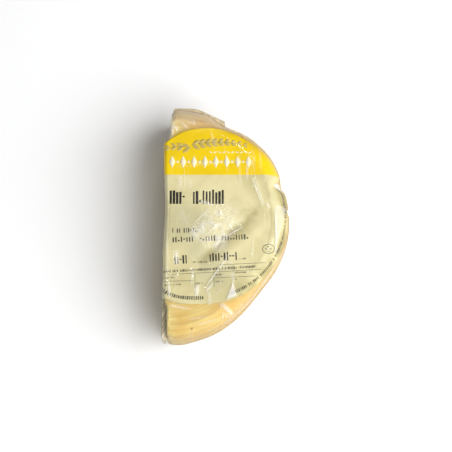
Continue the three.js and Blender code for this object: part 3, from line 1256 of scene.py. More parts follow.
@dataclass(frozen=True)
class Drape:
    """How label and film depart from the body, by the flat place.

    Broad ridges lift both. Creases, facets and crumples are the film's alone, with a haze that is
    partly crease whitening and partly painted glints. The bands of painted shade only darken the
    paper. The film is loose past the label's far end, and paled there by a painted sheen.
    """

    broad: tuple[Crease, ...] = (
        Crease((26.0, -38.0), (76.0, 8.0), -1.3, 4.6),
        Crease((40.0, -40.0), (94.0, 6.0), 0.8, 5.0),
        Crease((72.0, 36.0), (84.0, 8.0), 0.4, 4.0),
        Crease((4.0, -64.0), (26.0, -34.0), 0.3, 6.0),
        Crease((60.0, 62.0), (96.0, 26.0), 0.3, 5.0),
        Crease((30.0, -58.0), (48.0, -40.0), -0.5, 4.0),
    )
    # A crease's last two numbers, where given, are its painted glint's strength and width.
    creases: tuple[Crease, ...] = (
        Crease((73.2, 35.0), (82.4, 10.5), 0.5, 1.3, 0.42),
        Crease((75.6, 35.4), (83.6, 12.0), 0.4, 1.1, 0.3, 0.5),
        Crease((85.0, 13.8), (88.4, 9.0), 0.4, 1.0, 0.5, 0.8),
        Crease((93.0, 12.0), (93.4, -30.0), 0.6, 1.1, 0.75),
        Crease((34.1, -57.6), (51.4, -33.5), 0.6, 1.0, 0.5, 0.5),
        Crease((34.4, -60.6), (41.0, -54.0), 0.4, 1.2, 0.45),
        Crease((50.0, -36.0), (58.0, -38.0), 0.3, 1.0, 0.25),
        Crease((47.2, -70.6), (60.0, -83.4), 0.4, 1.6, 0.5, 1.5),
        Crease((49.6, -79.6), (57.0, -86.0), 0.3, 1.2, 0.3, 0.9),
        Crease((27.4, -55.0), (27.2, -65.0), 0.4, 1.6, 0.5, 1.6),
        Crease((23.4, -40.0), (22.6, -56.0), 0.3, 1.0, 0.3, 0.6),
        Crease((36.8, -60.0), (38.2, -73.0), 0.3, 1.5, 0.25, 1.2),
        Crease((9.5, -26.0), (10.6, -39.0), 0.4, 1.6, 0.42, 1.5),
        Crease((3.6, -52.0), (4.4, -66.0), 0.4, 1.1, 0.5, 0.8),
        Crease((56.8, -44.0), (57.4, -56.0), 0.3, 1.0, 0.4),
        Crease((74.0, -18.0), (73.0, -34.0), 0.3, 1.0, 0.22),
        Crease((65.6, -6.6), (50.4, -15.4), 0.5, 1.0, 0.55, 0.5),
        Crease((65.6, -6.6), (47.0, 3.6), 0.4, 1.0, 0.35, 0.6),
        Crease((22.9, -5.5), (40.5, 12.5), 0.3, 1.0, 0.3, 0.6),
        Crease((40.5, 12.5), (64.0, -4.0), 0.3, 1.0, 0.18, 0.6),
        Crease((53.0, -14.6), (35.0, -25.0), 0.3, 1.0, 0.35, 0.6),
        Crease((35.0, -25.0), (22.0, -9.0), 0.3, 1.0, 0.22, 0.8),
        Crease((46.0, 12.0), (47.0, -4.0), 0.3, 1.0, 0.3),
        Crease((28.0, 16.0), (40.0, 11.0), 0.3, 1.0, 0.35, 0.8),
        Crease((46.0, 12.0), (60.0, 7.0), 0.2, 1.0, 0.2, 1.2),
        Crease((2.6, -8.0), (3.0, -58.0), 0.06, 0.8, 0.3, 0.4),
        Crease((3.0, -72.0), (22.0, -75.6), 0.2, 1.0, 0.3, 0.9),
        Crease((26.0, -90.0), (44.0, -84.6), 0.2, 1.0, 0.26, 0.9),
        Crease((20.0, -84.0), (36.0, -81.6), 0.2, 1.0, 0.2, 0.9),
        Crease((8.0, 44.0), (62.0, 50.0), 0.15, 1.2, 0.1, 1.0),
        Crease((6.6, 79.8), (10.6, 76.0), 0.5, 1.0, 0.65, 0.9),
        Crease((5.8, 83.2), (8.6, 79.6), 0.4, 1.0, 0.35),
        Crease((12.6, 84.0), (15.4, 81.2), 0.4, 1.0, 0.4),
        Crease((15.2, 81.4), (18.4, 77.6), 0.5, 0.9, 0.5),
        Crease((18.6, 84.6), (21.0, 82.2), 0.4, 0.9, 0.35, 0.6),
        Crease((23.5, 85.0), (24.2, 80.5), 0.4, 0.9, 0.45, 0.8),
        Crease((4.8, 77.4), (5.8, 73.0), 0.3, 0.9, 0.5),
        Crease((4.4, 69.0), (6.2, 99.0), 0.1, 1.0, 0.42, 1.7),
        Crease((9.0, 92.0), (30.0, 96.0), 0.1, 1.0, 0.2, 2.2),
        Crease.band((52.0, -96.0), (96.0, -60.0), 0.24, 3.5),
        Crease.band((80.0, -74.0), (110.0, -22.0), 0.24, 3.5),
    )
    # Bands of painted shade on the paper: along fold flanks, over the right shoulder and round the rim.
    damp_and_painted_shade: tuple[Crease, ...] = (
        Crease.band((22.0, -41.0), (90.0, 18.0), 0.8, 4.2),
        Crease.band((60.0, -4.0), (76.0, 10.0), 0.5, 5.0),
        Crease.band((90.0, 40.0), (82.0, 6.0), 0.35, 5.0),
        Crease.band((-4.0, -40.0), (20.0, -64.0), 0.35, 8.0),
        Crease.band((88.0, -52.0), (108.0, -4.0), 1.5, 8.0),
        Crease.band((108.0, -14.0), (100.0, 34.0), 1.4, 7.0),
        Crease.band((98.0, 36.0), (94.0, -20.0), 0.5, 7.0),
        Crease.band((50.0, -77.0), (100.0, -35.0), 1.1, 9.0),
    )
    facets: tuple[Facet, ...] = (
        Facet(((93.6, 12.5), (103.0, 10.0), (94.0, -24.0)), 0.4, 0.24),
        Facet(((103.4, 8.4), (112.0, 9.0), (110.0, 1.0)), 0.2, 0.7),
        Facet(((92.0, 30.5), (104.0, 33.5), (101.0, 23.5)), 0.3, 0.6),
        Facet(((57.0, -52.0), (51.6, -67.6), (60.3, -64.6)), 0.4, 0.52),
        Facet(((65.6, -6.6), (46.4, 4.0), (50.2, -15.6)), 0.3, 0.1),
    )
    wave_height: float = 0.2
    wave_size: float = 21.0
    loose_from: Stretch = (72.0, 86.0)
    # Painted sheen on the loose film, and painted glints in gusts, clouds and webs of creases.
    loose_painted_sheen: float = 0.2
    gust_painted_glint: float = 0.28
    crumple_at: Place = (43.0, -5.0)
    crumple_reach: float = 24.0
    crumple_height: float = 0.9
    web_height: float = 0.25
    slack_height: float = 0.3
    cloud_painted_glint: float = 0.17
    web_painted_glint: float = 0.4
    least_painted_glint: float = 0.06
    seed: int = 3

    def shared(self, x: Array, y: Array) -> Array:
        """What lifts label and film alike: the broad ridges and valleys, and slow waves.

        Args:
            x, y: the flat places.
        Returns:
            The height at each point.
        """
        height = self.wave_height + self.wave_height * value_noise(x, y, self.wave_size, self.seed)
        for ridge in self.broad:
            height = height + ridge.relief(x, y)
        return height

    def painted_shade_on_paper(self, x: Array, y: Array) -> Array:
        """Where painted shade darkens the paper, along fold flanks, the shoulders and the rim: the
        widest band there.
        """
        return np.max([band.painted_light_band(x, y) for band in self.damp_and_painted_shade], axis=0)

    def crumpled(self, x: Array, y: Array) -> tuple[Array, Array]:
        """The crumpled patch, which is ragged by noise, and slack folds outside it.

        The patch has small facets under a web of fine creases, and the haze, partly painted
        glints, follows that web and a cloudy noise.

        Args:
            x, y: the flat places.
        Returns:
            The height and the haze with its painted glints.
        """
        away = np.hypot(x - self.crumple_at[0], (y - self.crumple_at[1]) * 0.95)
        ragged = away + 6.0 * value_noise(x, y, 9.0, self.seed + 5)
        patch = 1 - smoothstep(ragged, 0.5 * self.crumple_reach, self.crumple_reach)
        facets, _ = crumple(x, y, 6.0, 5, self.seed + 6)
        slack, _ = crumple(x, y, 15.0, 3, self.seed + 7)
        web = 0.7 * veins(x, y, 3.6, 0.12, self.seed + 11)
        web = np.maximum(veins(x, y, 6.5, 0.08, self.seed + 8), web)
        cloud = smoothstep(value_noise(x, y, 5.0, self.seed + 14), -0.5, 0.8)
        crushed = self.crumple_height * facets + self.web_height * web
        height = patch * crushed + (1 - patch) * self.slack_height * slack
        web_painted_glint = self.web_painted_glint * web * (0.35 + 0.65 * cloud)
        return height, patch * (self.least_painted_glint + self.cloud_painted_glint * cloud + web_painted_glint)

    def film(self, x: Array, y: Array) -> tuple[Array, Array]:
        """The film's own height over label or cheese, and its haze, partly painted glints.

        The haze is the strongest of the crumpled patch's, thin lines in gusts along the cut, the
        loose film's painted sheen, and that of the creases and facets, their painted glints.

        Args:
            x, y: the flat places.
        Returns:
            The height and the haze with its painted glints.
        """
        height, haze_and_painted_light = self.crumpled(x, y)
        gusts = smoothstep(value_noise(x, y, 17.0, self.seed + 20), -0.3, 0.8)
        lines = veins(2.4 * x, 0.3 * y, 13.0, 0.05, self.seed + 21)
        haze_and_painted_light = np.maximum(haze_and_painted_light, self.gust_painted_glint * gusts * lines)
        loose = smoothstep(y, *self.loose_from) * (0.7 + 0.3 * value_noise(x, y, 6.0, self.seed + 24))
        haze_and_painted_light = np.maximum(haze_and_painted_light, self.loose_painted_sheen * loose)
        for crease in self.creases:
            height = height + crease.relief(x, y)
            haze_and_painted_light = np.maximum(haze_and_painted_light, crease.painted_light_band(x, y))
        for facet in self.facets:
            share = facet.share(x, y)
            height = height + facet.lift * share
            haze_and_painted_light = np.maximum(haze_and_painted_light, facet.haze_and_painted_light * share)
        return height, haze_and_painted_light


# The label and its print


@dataclass
class PaperLabel:
    """The round label, rolled over the top, the shoulder and the cut edge.

    Its upper face lies `spare` under the shape's outer limit. Sections stand closer together
    between the two ends of over_edge.
    """

    form: WheelForm
    shape: LabelShape
    drape: Drape
    spare: float = 0.05
    thick: float = 0.22
    rim_steps: int = 330
    top_points: int = 130
    under_points: int = 46
    over_edge: Stretch = (-1.8, 6.6)
    edge_step: float = 0.25
    apart: float = 0.2

    def surface(self, x: Array, y: Array, over: float | Array) -> Array:
        """Points at a height over the label's upper face, or below zero under it."""
        lift = self.shape.outer - self.spare + self.drape.shared(x, y) + over
        return self.form.roll(x, y, lift)

    def stations(self) -> Array:
        """Where sections stand along x: even steps round the rim, and closer over the cut edge.

        Returns:
            Their x, in order.
        """
        turn = np.linspace(0.0, math.pi, self.rim_steps)[1:-1]
        round_rim = self.shape.x - self.shape.radius * np.cos(turn)
        low, high = self.over_edge
        outside = (round_rim < low - self.apart) | (round_rim > high + self.apart)
        return np.sort(np.concatenate([round_rim[outside], np.arange(low, high, self.edge_step)]))

    def build(self, placement: Placement) -> bpy.types.Object:
        """Makes the piece `label`: sections along x, each across the top and back underneath.

        Args:
            placement: where the wheel's axes lie in the frame.
        Returns:
            The object.
        """
        station = self.stations()[:, None]
        near, far = self.shape.ends(station)
        there, back = np.linspace(0, 1, self.top_points), np.linspace(1, 0, self.under_points)
        across = np.concatenate([there, back])[None, :]
        over = np.concatenate([np.zeros_like(there), np.full_like(back, -self.thick)])[None, :]
        y = far + (near - far) * across
        x = np.broadcast_to(station, y.shape)
        rings = self.surface(x, y, over)
        blank = Blank.from_rings(rings, rings[0].mean(0), rings[-1].mean(0))
        # The paper's painted shade goes to the mesh as a value.
        blank.with_rings(np.stack([x, y], -1), {"damp_and_painted_shade": self.drape.painted_shade_on_paper(x, y)})
        made = blank.piece("label", placement, PaperFinish().material())
        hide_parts(LABEL_NODE)
        return made


class Outline(Enum):
    """How wide a printed stroke is along its length."""

    BAR = "bar"
    LEAF = "leaf"
    LOZENGE = "lozenge"
    DOT = "dot"

    def width(self, share: Array) -> Array:
        """The share of full width: even, a sine, a roof, or a half circle's height.

        Args:
            share: the way along the stroke, from 0 to 1.
        Returns:
            The width there, never quite 0.
        """
        shapes = {
            Outline.BAR: np.ones_like(share),
            Outline.LEAF: np.sin(math.pi * share),
            Outline.LOZENGE: 1 - np.abs(2 * share - 1),
            Outline.DOT: np.sqrt(np.maximum(0.0, 1 - (2 * share - 1) ** 2)),
        }
        return np.maximum(shapes[self], 0.03)


@dataclass(frozen=True)
class Mark:
    """A printed stroke: points of its middle line on the flat label, and half its width there."""

    spine: Array
    half: Array

    @classmethod
    def straight(
        cls, start: Place, end: Place, width: float, outline: Outline = Outline.BAR, bow: float = 0.0
    ) -> "Mark":
        """A stroke from start to end, bowed sideways by a parabola of that height.

        Args:
            start, end: the ends of its middle line.
            width: its full width.
            outline: how wide it is along its length.
            bow: how far its middle leaves the straight line.
        Returns:
            The mark.
        """
        fewest = 4 if outline is Outline.BAR else 9
        steps = max(fewest, int(math.dist(start, end) / STROKE_STEP) + 1)
        share = np.linspace(0.0, 1.0, steps)
        run = np.array(end) - np.array(start)
        across = np.array([-run[1], run[0]]) / max(np.linalg.norm(run), 1e-6)
        side = (bow * 4 * share * (1 - share))[:, None] * across
        return cls(np.array(start) + share[:, None] * run + side, width / 2 * outline.width(share))

    @classmethod
    def arc(cls, middle: Place, radii: Place, start: float, end: float, width: float) -> "Mark":
        """A stroke along an ellipse, between two angles in degrees.

        Args:
            middle, radii: the ellipse's middle, and its radii along x and y.
            start, end: the angles.
            width: the stroke's full width.
        Returns:
            The mark.
        """
        length = abs(math.radians(end - start)) * max(radii)
        turn = np.radians(np.linspace(start, end, max(8, int(length / ARC_STEP))))
        points = np.stack([middle[0] + radii[0] * np.cos(turn), middle[1] + radii[1] * np.sin(turn)], -1)
        return cls(points, np.full(len(turn), width / 2))

    def blank(self, label: PaperLabel, under: float, over: float) -> Blank:
        """A thin closed plate on the label: its middle line widened both ways, top and bottom.

        Args:
            label: the paper that it lies on.
            under, over: the heights of its two faces over the paper.
        Returns:
            Rings of six points across the stroke, from end to end.
        """
        along = np.gradient(self.spine, axis=0)
        along = along / np.linalg.norm(along, axis=1, keepdims=True)
        across = self.half[:, None] * np.stack([-along[:, 1], along[:, 0]], -1)
        sides = np.array([1.0, 0.0, -1.0])[None, :, None]
        flat = self.spine[:, None, :] + sides * across[:, None, :]
        top = label.surface(flat[..., 0], flat[..., 1], over)
        bottom = label.surface(flat[..., 0], flat[..., 1], under)
        rings = np.concatenate([top, bottom[:, ::-1]], axis=1)
        return Blank.from_rings(rings, rings[0].mean(0), rings[-1].mean(0))


@dataclass(frozen=True)
class StrokeRow:
    """A row of short upright strokes, dashes and dots, where the pack has words. No letters.

    start and end are the ends of its base line. In each place, one pitch wide, a seeded draw
    from 0 to 1 picks a gap, a stroke, a dot or a dash, in that order.
    """

    start: Place
    end: Place
    height: float
    pitch: float
    weight: float
    seed: int
    gaps: float = 0.16
    dots_from: float = 0.84
    dashes_from: float = 0.9
    dot_width: float = 1.5
    dash_share: float = 0.72

    def marks(self) -> list[Mark]:
        """The row's marks, upright on the line from start to end.

        Returns:
            The marks, in the order of their draws.
        """
        draw = np.random.default_rng(self.seed)
        run = np.array(self.end) - np.array(self.start)
        length = float(np.linalg.norm(run))
        along, up = run / length, np.array([-run[1], run[0]]) / length
        made = []
        for step in range(int(length / self.pitch)):
            pick, tall, thick = draw.uniform(), draw.uniform(0.78, 1.0), draw.uniform(0.75, 1.35)
            foot = np.array(self.start) + along * (step + 0.5) * self.pitch
            if pick >= self.gaps:
                made.append(self.mark(pick, foot, along, up, tall, thick))
        return made

    def mark(
        self, pick: float, foot: Array, along: Array, up: Array, tall: float, thick: float
    ) -> Mark:
        """One mark of the row.

        Args:
            pick: the draw that picks its kind.
            foot: the middle of its foot.
            along, up: unit steps along the row and across it.
            tall, thick: a stroke's shares of the row's height and weight.
        Returns:
            The mark.
        """
        if pick > self.dashes_from:
            middle, half = foot + up * self.height * 0.5, along * self.dash_share / 2 * self.pitch
            return Mark.straight(tuple(middle - half), tuple(middle + half), self.weight * 0.9)
        if pick > self.dots_from:
            low, wide = self.height * 0.1, self.dot_width * self.weight
            ends = tuple(foot + up * low), tuple(foot + up * (low + wide))
            return Mark.straight(*ends, wide, Outline.DOT)
        return Mark.straight(tuple(foot), tuple(foot + up * self.height * tall), self.weight * thick)


@dataclass(frozen=True)
class RimRow:
    """A row of short radial strokes along the label's rim, between two angles in degrees."""

    start: float
    end: float
    height: float
    pitch: float
    weight: float
    seed: int
    gaps: float = 0.17

    def marks(self, shape: LabelShape, inset: float) -> list[Mark]:
        """The row's strokes, so far inside the rim, with drawn heights, widths and gaps.

        Args:
            shape: the label's disc.
            inset: how far inside the rim the strokes have their middles.
        Returns:
            The strokes, in the order of their draws.
        """
        draw = np.random.default_rng(self.seed)
        step = math.degrees(self.pitch / (shape.radius - inset))
        made = []
        for turn in np.radians(np.arange(self.start, self.end, step)):
            pick, tall, thick = draw.uniform(), draw.uniform(0.7, 1.0), draw.uniform(0.75, 1.3)
            out = np.array([math.cos(turn), math.sin(turn)])
            inner = shape.reach(turn) - inset - self.height * tall / 2
            near = np.array([shape.x, shape.y]) + out * inner
            if pick > self.gaps:
                far = near + out * self.height * tall
                made.append(Mark.straight(tuple(near), tuple(far), self.weight * thick))
        return made


@dataclass
class LabelPrint:
    """The label's print: letterless rows and rules, an oval ring, two leafy sprigs and a garland.

    It is a skin of ink from `sunk` under the paper's face to `raised` over it. Each dash in the
    ring is given by its height over the ring's middle and half its length.
    """

    label: PaperLabel
    rows: tuple[StrokeRow, ...] = (
        StrokeRow((3.6, 12.8), (17.4, 12.8), 12.4, 2.7, 1.6, 21, 0.0),
        StrokeRow((23.0, 12.8), (51.8, 12.8), 12.4, 2.7, 1.6, 22, 0.05),
        StrokeRow((6.0, -11.9), (29.0, -11.3), 4.3, 1.9, 0.75, 23),
        StrokeRow((6.2, -19.8), (72.5, -17.2), 4.7, 2.3, 0.95, 24),
        StrokeRow((8.0, -38.2), (20.6, -37.4), 7.4, 2.3, 1.1, 25, 0.0),
        StrokeRow((37.2, -35.8), (61.8, -34.6), 7.4, 2.4, 1.15, 26, 0.0),
        StrokeRow((23.8, -37.2), (36.6, -36.8), 1.6, 1.1, 0.5, 27),
        StrokeRow((62.6, -34.4), (68.4, -34.0), 1.6, 1.1, 0.5, 28),
        StrokeRow((-2.0, -45.6), (77.6, -41.0), 2.3, 1.25, 0.6, 29),
        StrokeRow((58.6, -46.0), (68.5, -45.6), 1.7, 1.1, 0.45, 30),
        StrokeRow((58.6, -51.6), (62.2, -51.4), 1.7, 1.1, 0.45, 31),
        StrokeRow((42.0, -47.8), (48.6, -47.6), 1.7, 1.1, 0.45, 32),
        StrokeRow((42.6, -53.4), (49.4, -53.2), 1.5, 1.1, 0.45, 33),
        StrokeRow((-2.0, -50.6), (10.0, -49.8), 1.7, 1.1, 0.45, 34),
        StrokeRow((1.0, -56.4), (14.5, -55.6), 1.5, 1.1, 0.45, 35),
        StrokeRow((26.5, -55.0), (32.0, -54.8), 1.7, 1.1, 0.45, 36),
    )
    rules: tuple[tuple[Place, Place], ...] = (
        ((46.0, -38.6), (85.0, -36.9)),
        ((-3.0, -47.4), (81.5, -42.3)),
        ((-3.0, -52.6), (24.0, -51.9)),
        ((41.0, -49.6), (78.5, -47.9)),
        ((57.3, -39.0), (57.3, -51.5)),
        ((41.4, -45.2), (41.4, -57.0)),
        ((25.6, -46.4), (25.6, -58.0)),
    )
    rule_width: float = 0.28
    ring_at: Place = (87.1, -25.3)
    ring_radii: Place = (5.2, 3.9)
    ring_width: float = 0.42
    ring_dashes: tuple[Place, ...] = ((1.9, 1.2), (0.0, 3.0), (-1.9, 1.2))
    dash_width: float = 0.5
    rim_rows: tuple[RimRow, ...] = (
        RimRow(-122.0, -91.0, 3.4, 1.75, 0.95, 41),
        RimRow(-71.0, -24.0, 2.9, 1.6, 0.8, 42),
        RimRow(-24.0, 21.0, 2.6, 1.45, 0.75, 43),
    )
    rim_inset: float = 5.2
    sunk: float = 0.05
    raised: float = 0.06

    def build(self, placement: Placement) -> list[bpy.types.Object]:
        """Makes the pieces `print_dark`, `print_white` and `print_beige`.

        Args:
            placement: where the wheel's axes lie in the frame.
        Returns:
            The three objects.
        """
        dark = InkFinish("ink_dark", tint(44, 43, 46), tint(96, 92, 84))
        white = InkFinish("ink_white", tint(250, 246, 232), tint(246, 226, 150))
        beige = InkFinish("ink_beige", tint(206, 189, 118), tint(214, 190, 92))
        return [
            self.plate("print_dark", self.dark_marks(), dark, placement),
            self.plate("print_white", self.garland(), white, placement),
            self.plate("print_beige", self.sprigs(), beige, placement),
        ]

    def plate(
        self, name: str, marks: list[Mark], ink: InkFinish, placement: Placement
    ) -> bpy.types.Object:
        """Joins marks into one piece, a thin skin of ink that starts just inside the paper.

        Args:
            name: the piece's name.
            marks: what is printed.
            ink: its finish.
            placement: where the wheel's axes lie in the frame.
        Returns:
            The object.
        """
        blank = Blank.joined([mark.blank(self.label, -self.sunk, self.raised) for mark in marks])
        made = blank.piece(name, placement, ink.material())
        return made

    def dark_marks(self) -> list[Mark]:
        """Rows, rules, the oval ring with its dashes, and the rows round the rim.

        Returns:
            The marks.
        """
        marks = [mark for row in self.rows for mark in row.marks()]
        marks += [Mark.straight(start, end, self.rule_width) for start, end in self.rules]
        marks.append(Mark.arc(self.ring_at, self.ring_radii, 0, 359, self.ring_width))
        x, y = self.ring_at
        for rise, half in self.ring_dashes:
            marks.append(Mark.straight((x - half, y + rise), (x + half, y + rise), self.dash_width))
        for row in self.rim_rows:
            marks += row.marks(self.label.shape, self.rim_inset)
        return marks

    def garland(self) -> list[Mark]:
        """White lozenges and dots in turn, and a wavy line of leaves, on the yellow field.

        Returns:
            The marks.
        """
        marks = []
        lozenges, pitch, low, high = 8, 9.2, 43.4, 54.0
        for step in range(lozenges):
            x, middle = 6.0 + step * pitch, (low + high) / 2
            marks.append(Mark.straight((x, low), (x, high), 5.4, Outline.LOZENGE))
            if step < lozenges - 1:
                marks.append(Mark.straight((x + 3.5, middle), (x + 5.7, middle), 2.2, Outline.DOT))
        leaves, pitch, level = 10, 3.7, 56.9
        for step in range(leaves):
            x = 37.0 + step * pitch
            rise = 0.7 if step % 2 else -0.7
            marks.append(Mark.straight((x, level - rise), (x + 3.0, level + rise), 1.1, Outline.LEAF))
        return marks

    def sprigs(self) -> list[Mark]:
        """Two beige sprigs: bowed stems, each with pairs of leaves that shrink to its tip.

        Returns:
            The marks.
        """
        marks = []
        bow, pitch, longest, widest = 2.4, 5.4, 8.2, 3.6
        for root_x, tip_x, base_y, lean in ((24.0, 1.0, 59.5, -1.0), (20.0, 69.0, 63.0, 1.0)):
            ends = (root_x, base_y), (tip_x, base_y)
            marks.append(Mark.straight(*ends, 1.1, Outline.LEAF, bow * lean))
            count = int(abs(tip_x - root_x) / pitch)
            for step in range(count):
                share = (step + 0.5) / count
                x = root_x + (tip_x - root_x) * share
                y = base_y + bow * 4 * share * (1 - share)
                reach = longest * (1.0 - 0.5 * share)
                for side in (1, -1):
                    tip = (x + lean * reach * 0.86, y + side * reach * 0.5)
                    marks.append(Mark.straight((x, y), tip, widest * (1.0 - 0.4 * share), Outline.LEAF))
        return marks


# The film


@dataclass
class ShrinkFilm:
    """The clear film round label and cheese: one closed skin, pulled tight and creased.

    Its clearances are millimetres over the body, over_paper those over the label's own limit.
    """

    form: WheelForm
    label: LabelShape
    drape: Drape
    clear: float = 0.2
    over_paper: float = 0.12
    ease_off_label: Stretch = (0.2, 3.2)
    corner: Place = (2.0, 69.0)
    corner_lift: float = 0.9
    corner_spread: float = 3.5
    side_from: Stretch = (10.0, 26.0)
    side_folds: float = 0.35
    # Painted glints along the folds on the side and on the cut face.
    side_painted_glint: float = 0.1
    between_ribs: float = 0.35
    cut_folds: float = 0.4
    cut_painted_glint: float = 0.12
    most_painted_glint: float = 0.85
    seed: int = 71

    def build(self, placement: Placement) -> bpy.types.Object:
        """Makes the piece `film`.

        Each point of the form's skin is moved out along its normal by the film's height there,
        which fades to nothing on the base.

        Args:
            placement: where the wheel's axes lie in the frame.
        Returns:
            The object.
        """
        skin = self.form.skin(columns=430, base=8, foot=12, wall=44, shoulder=34, top=118)
        height, haze_and_painted_light = self.height_and_painted_light(skin)
        off_base = smoothstep(skin.points[..., 2], 0.0, 6.0)
        points = skin.points + (height * off_base)[..., None] * skin.normals
        last = skin.last_pole + np.array([0, 0, height[-1].mean()])
        blank = Blank.from_rings(points, skin.first_pole, last)
        # The haze value carries painted glints, partly crease whitening.
        blank.with_rings(skin.flat, {"haze_and_painted_light": haze_and_painted_light, "clings_and_painted_shade": skin.on_cut.astype(float)})
        made = blank.piece("film", placement, FilmFinish().material())
        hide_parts(BAG_NODE)
        return made

    def height_and_painted_light(self, skin: Skin) -> tuple[Array, Array]:
        """The film's height over the body and its whitening, partly painted glints.

        Over the label it clears the paper, and past the rim it comes down over a few
        millimetres. It stands off further, by a bell, at the label's far corner, which juts over
        the recess. On the side it has upright tension folds, it dips between the ribs, and on
        the cut face it has long folds below the edge.

        Args:
            skin: the form's skin.
        Returns:
            The height and the haze with its painted glints, from 0 to 1.
        """
        x, y = skin.flat[..., 0], skin.flat[..., 1]
        over_label = 1 - smoothstep(self.label.beyond_rim(x, y), *self.ease_off_label)
        own, haze_and_painted_light = self.drape.film(x, y)
        shared = self.drape.shared(x, y)
        height = self.clear + over_label * (self.label.outer + self.over_paper) + shared + own
        from_corner = np.hypot(x - self.corner[0], y - self.corner[1])
        height = height + self.corner_lift * bell(from_corner, self.corner_spread)
        side = smoothstep(skin.run, *self.side_from) * ~skin.on_cut
        turn = np.arctan2(y, x - self.form.axis_from_cut) * self.form.radius
        folds, crease = crumple(turn, 0.22 * skin.run, 13.0, 3, self.seed)
        height = height + side * (self.side_folds * folds - 0.4 * shared)
        height = height - self.between_ribs * self.form.ribs(skin.run, skin.flat, self.label)
        haze_and_painted_light = np.maximum(haze_and_painted_light, side * self.side_painted_glint * crease)
        folds, crease = crumple(0.5 * x, y, 16.0, 3, self.seed + 4)
        low_cut = skin.on_cut * smoothstep(-x, 2.0, 12.0)
        height = height + low_cut * self.cut_folds * folds
        haze_and_painted_light = np.maximum(haze_and_painted_light, low_cut * self.cut_painted_glint * crease)
        return height, np.clip(haze_and_painted_light, 0.0, self.most_painted_glint)


@dataclass
class FilmFold:
    """A fold of spare film that stands out of the side: a crimped strip from root to edge."""

    name: str
    root: Array
    edge: Array
    crimp: float
    pitch: float
    rise: float
    finish: FoldFinish
    thick: float = 0.3
    points_out: int = 6

    @classmethod
    def along(
        cls, form: WheelForm, outline: tuple[Place, ...], z: float, **settings: object
    ) -> "FilmFold":
        """A fold whose edge follows an outline of straight runs, and whose root lies in the side.

        Each station's root is where the ray from the wheel's core to its edge leaves the body,
        and a little deeper.

        Args:
            form: the body that it stands out of.
            outline: the corners of its edge, from above.
            z: its height over the base.
            settings: the fold's other fields.
        Returns:
            The fold.
        """
        stations, embedded = 150, 0.4
        corners_at = np.array(outline)
        steps = np.hypot(*np.diff(corners_at, axis=0).T)
        length = np.concatenate([[0.0], np.cumsum(steps)])
        way = np.linspace(0.0, length[-1], stations)
        edge_x = np.interp(way, length, corners_at[:, 0])
        edge_y = np.interp(way, length, corners_at[:, 1])
        direction = np.arctan2(edge_y, edge_x - form.core_x)
        level = np.full_like(direction, z)
        distance = form.reach(direction, level)[0] - embedded
        root_x = form.core_x + distance * np.cos(direction)
        root = np.stack([root_x, distance * np.sin(direction), level], -1)
        return cls(root=root, edge=np.stack([edge_x, edge_y, level], -1), **settings)

    @classmethod
    def far_ear(cls, form: WheelForm) -> "FilmFold":
        """The straight-edged fold along the far end, pointed where it meets the label."""
        outline = ((4.2, 91.5), (7.0, 98.6), (21.7, 98.5), (28.6, 97.3), (50.2, 86.8), (50.6, 82.2))
        settings = {"crimp": 0.25, "pitch": 0.13, "rise": 1.2, "finish": EAR}
        return cls.along(form, outline, 57.0, name="film_ear", **settings)

    @classmethod
    def near_fin(cls, form: WheelForm) -> "FilmFold":
        """The narrow fold along the cut face's near end, crimped every few millimetres."""
        outline = ((-0.7, -64.0), (-2.4, -69.0), (-2.8, -97.5), (-0.9, -102.8), (1.0, -104.0))
        settings = {"crimp": 0.6, "pitch": 0.17, "rise": 0.8, "finish": FIN}
        return cls.along(form, outline, 62.0, name="film_fin", **settings)

    def build(self, placement: Placement) -> bpy.types.Object:
        """Makes the piece: rings round the strip's section, half their points on either face.

        The strip is rippled by a sine along it, which grows with the way out. Its two faces lie
        half its thickness to either side. The rings run the way that turns the faces outwards.

        Args:
            placement: where the wheel's axes lie in the frame.
        Returns:
            The object.
        """
        share = np.linspace(0.0, 1.0, len(self.root))[:, None]
        out = np.linspace(1.0, 0.0, self.points_out)[None, :]
        ripple = np.sin(2 * math.pi * share / self.pitch + 2.0 * np.sin(9 * share))
        lift = out * (self.crimp * ripple + self.rise * out)
        points = self.root[:, None] + out[..., None] * (self.edge - self.root)[:, None]
        up = np.array([0.0, 0.0, 1.0])
        top = points + (lift + self.thick / 2)[..., None] * up
        bottom = points + (lift - self.thick / 2)[..., None] * up
        rings = np.concatenate([top, bottom[:, ::-1]], axis=1)
        middle = len(self.root) // 2
        forward = self.root[middle] - self.root[middle - 1]
        outward = self.edge[middle] - self.root[middle]
        if np.cross(outward, forward)[2] > 0:
            rings = rings[:, ::-1]
        blank = Blank.from_rings(rings, rings[0].mean(0), rings[-1].mean(0))
        out = np.concatenate([out, out[:, ::-1]], axis=1) * np.ones_like(share)
        crimped = np.clip(ripple, 0.0, 1.0) ** 2 * np.ones_like(out)
        blank.with_rings(None, {"edge": out, "crimp": crimped})
        made = blank.piece(self.name, placement, self.finish.material())
        return made


# The studio


@dataclass(frozen=True)
class Softbox:
    """An oblong area light, aimed at the cheese from an azimuth and an elevation in degrees.

    A light that isn't mirrored adds no highlight of its own to the film.
    """

    name: str
    azimuth: float
    elevation: float
    distance: float
    size: Place
    power: float
    mirrored: bool = True

    def build(self, target: Vector) -> None:
        """Adds the light at its distance from the target, facing it.

        Args:
            target: the place that it faces, in the frame.
        """
        data = bpy.data.lights.new(self.name, "AREA")
        data.shape = "RECTANGLE"
        data.size, data.size_y = self.size
        data.energy = self.power
        turn, rise = math.radians(self.azimuth), math.radians(self.elevation)
        way = Vector((math.cos(turn) * math.cos(rise), math.sin(turn) * math.cos(rise), math.sin(rise)))
        lamp = bpy.data.objects.new(self.name, data)
        lamp.location = target + way * self.distance
        lamp.rotation_euler = (-way).to_track_quat("-Z", "Y").to_euler()
        lamp.visible_glossy = self.mirrored
        bpy.context.scene.collection.objects.link(lamp)


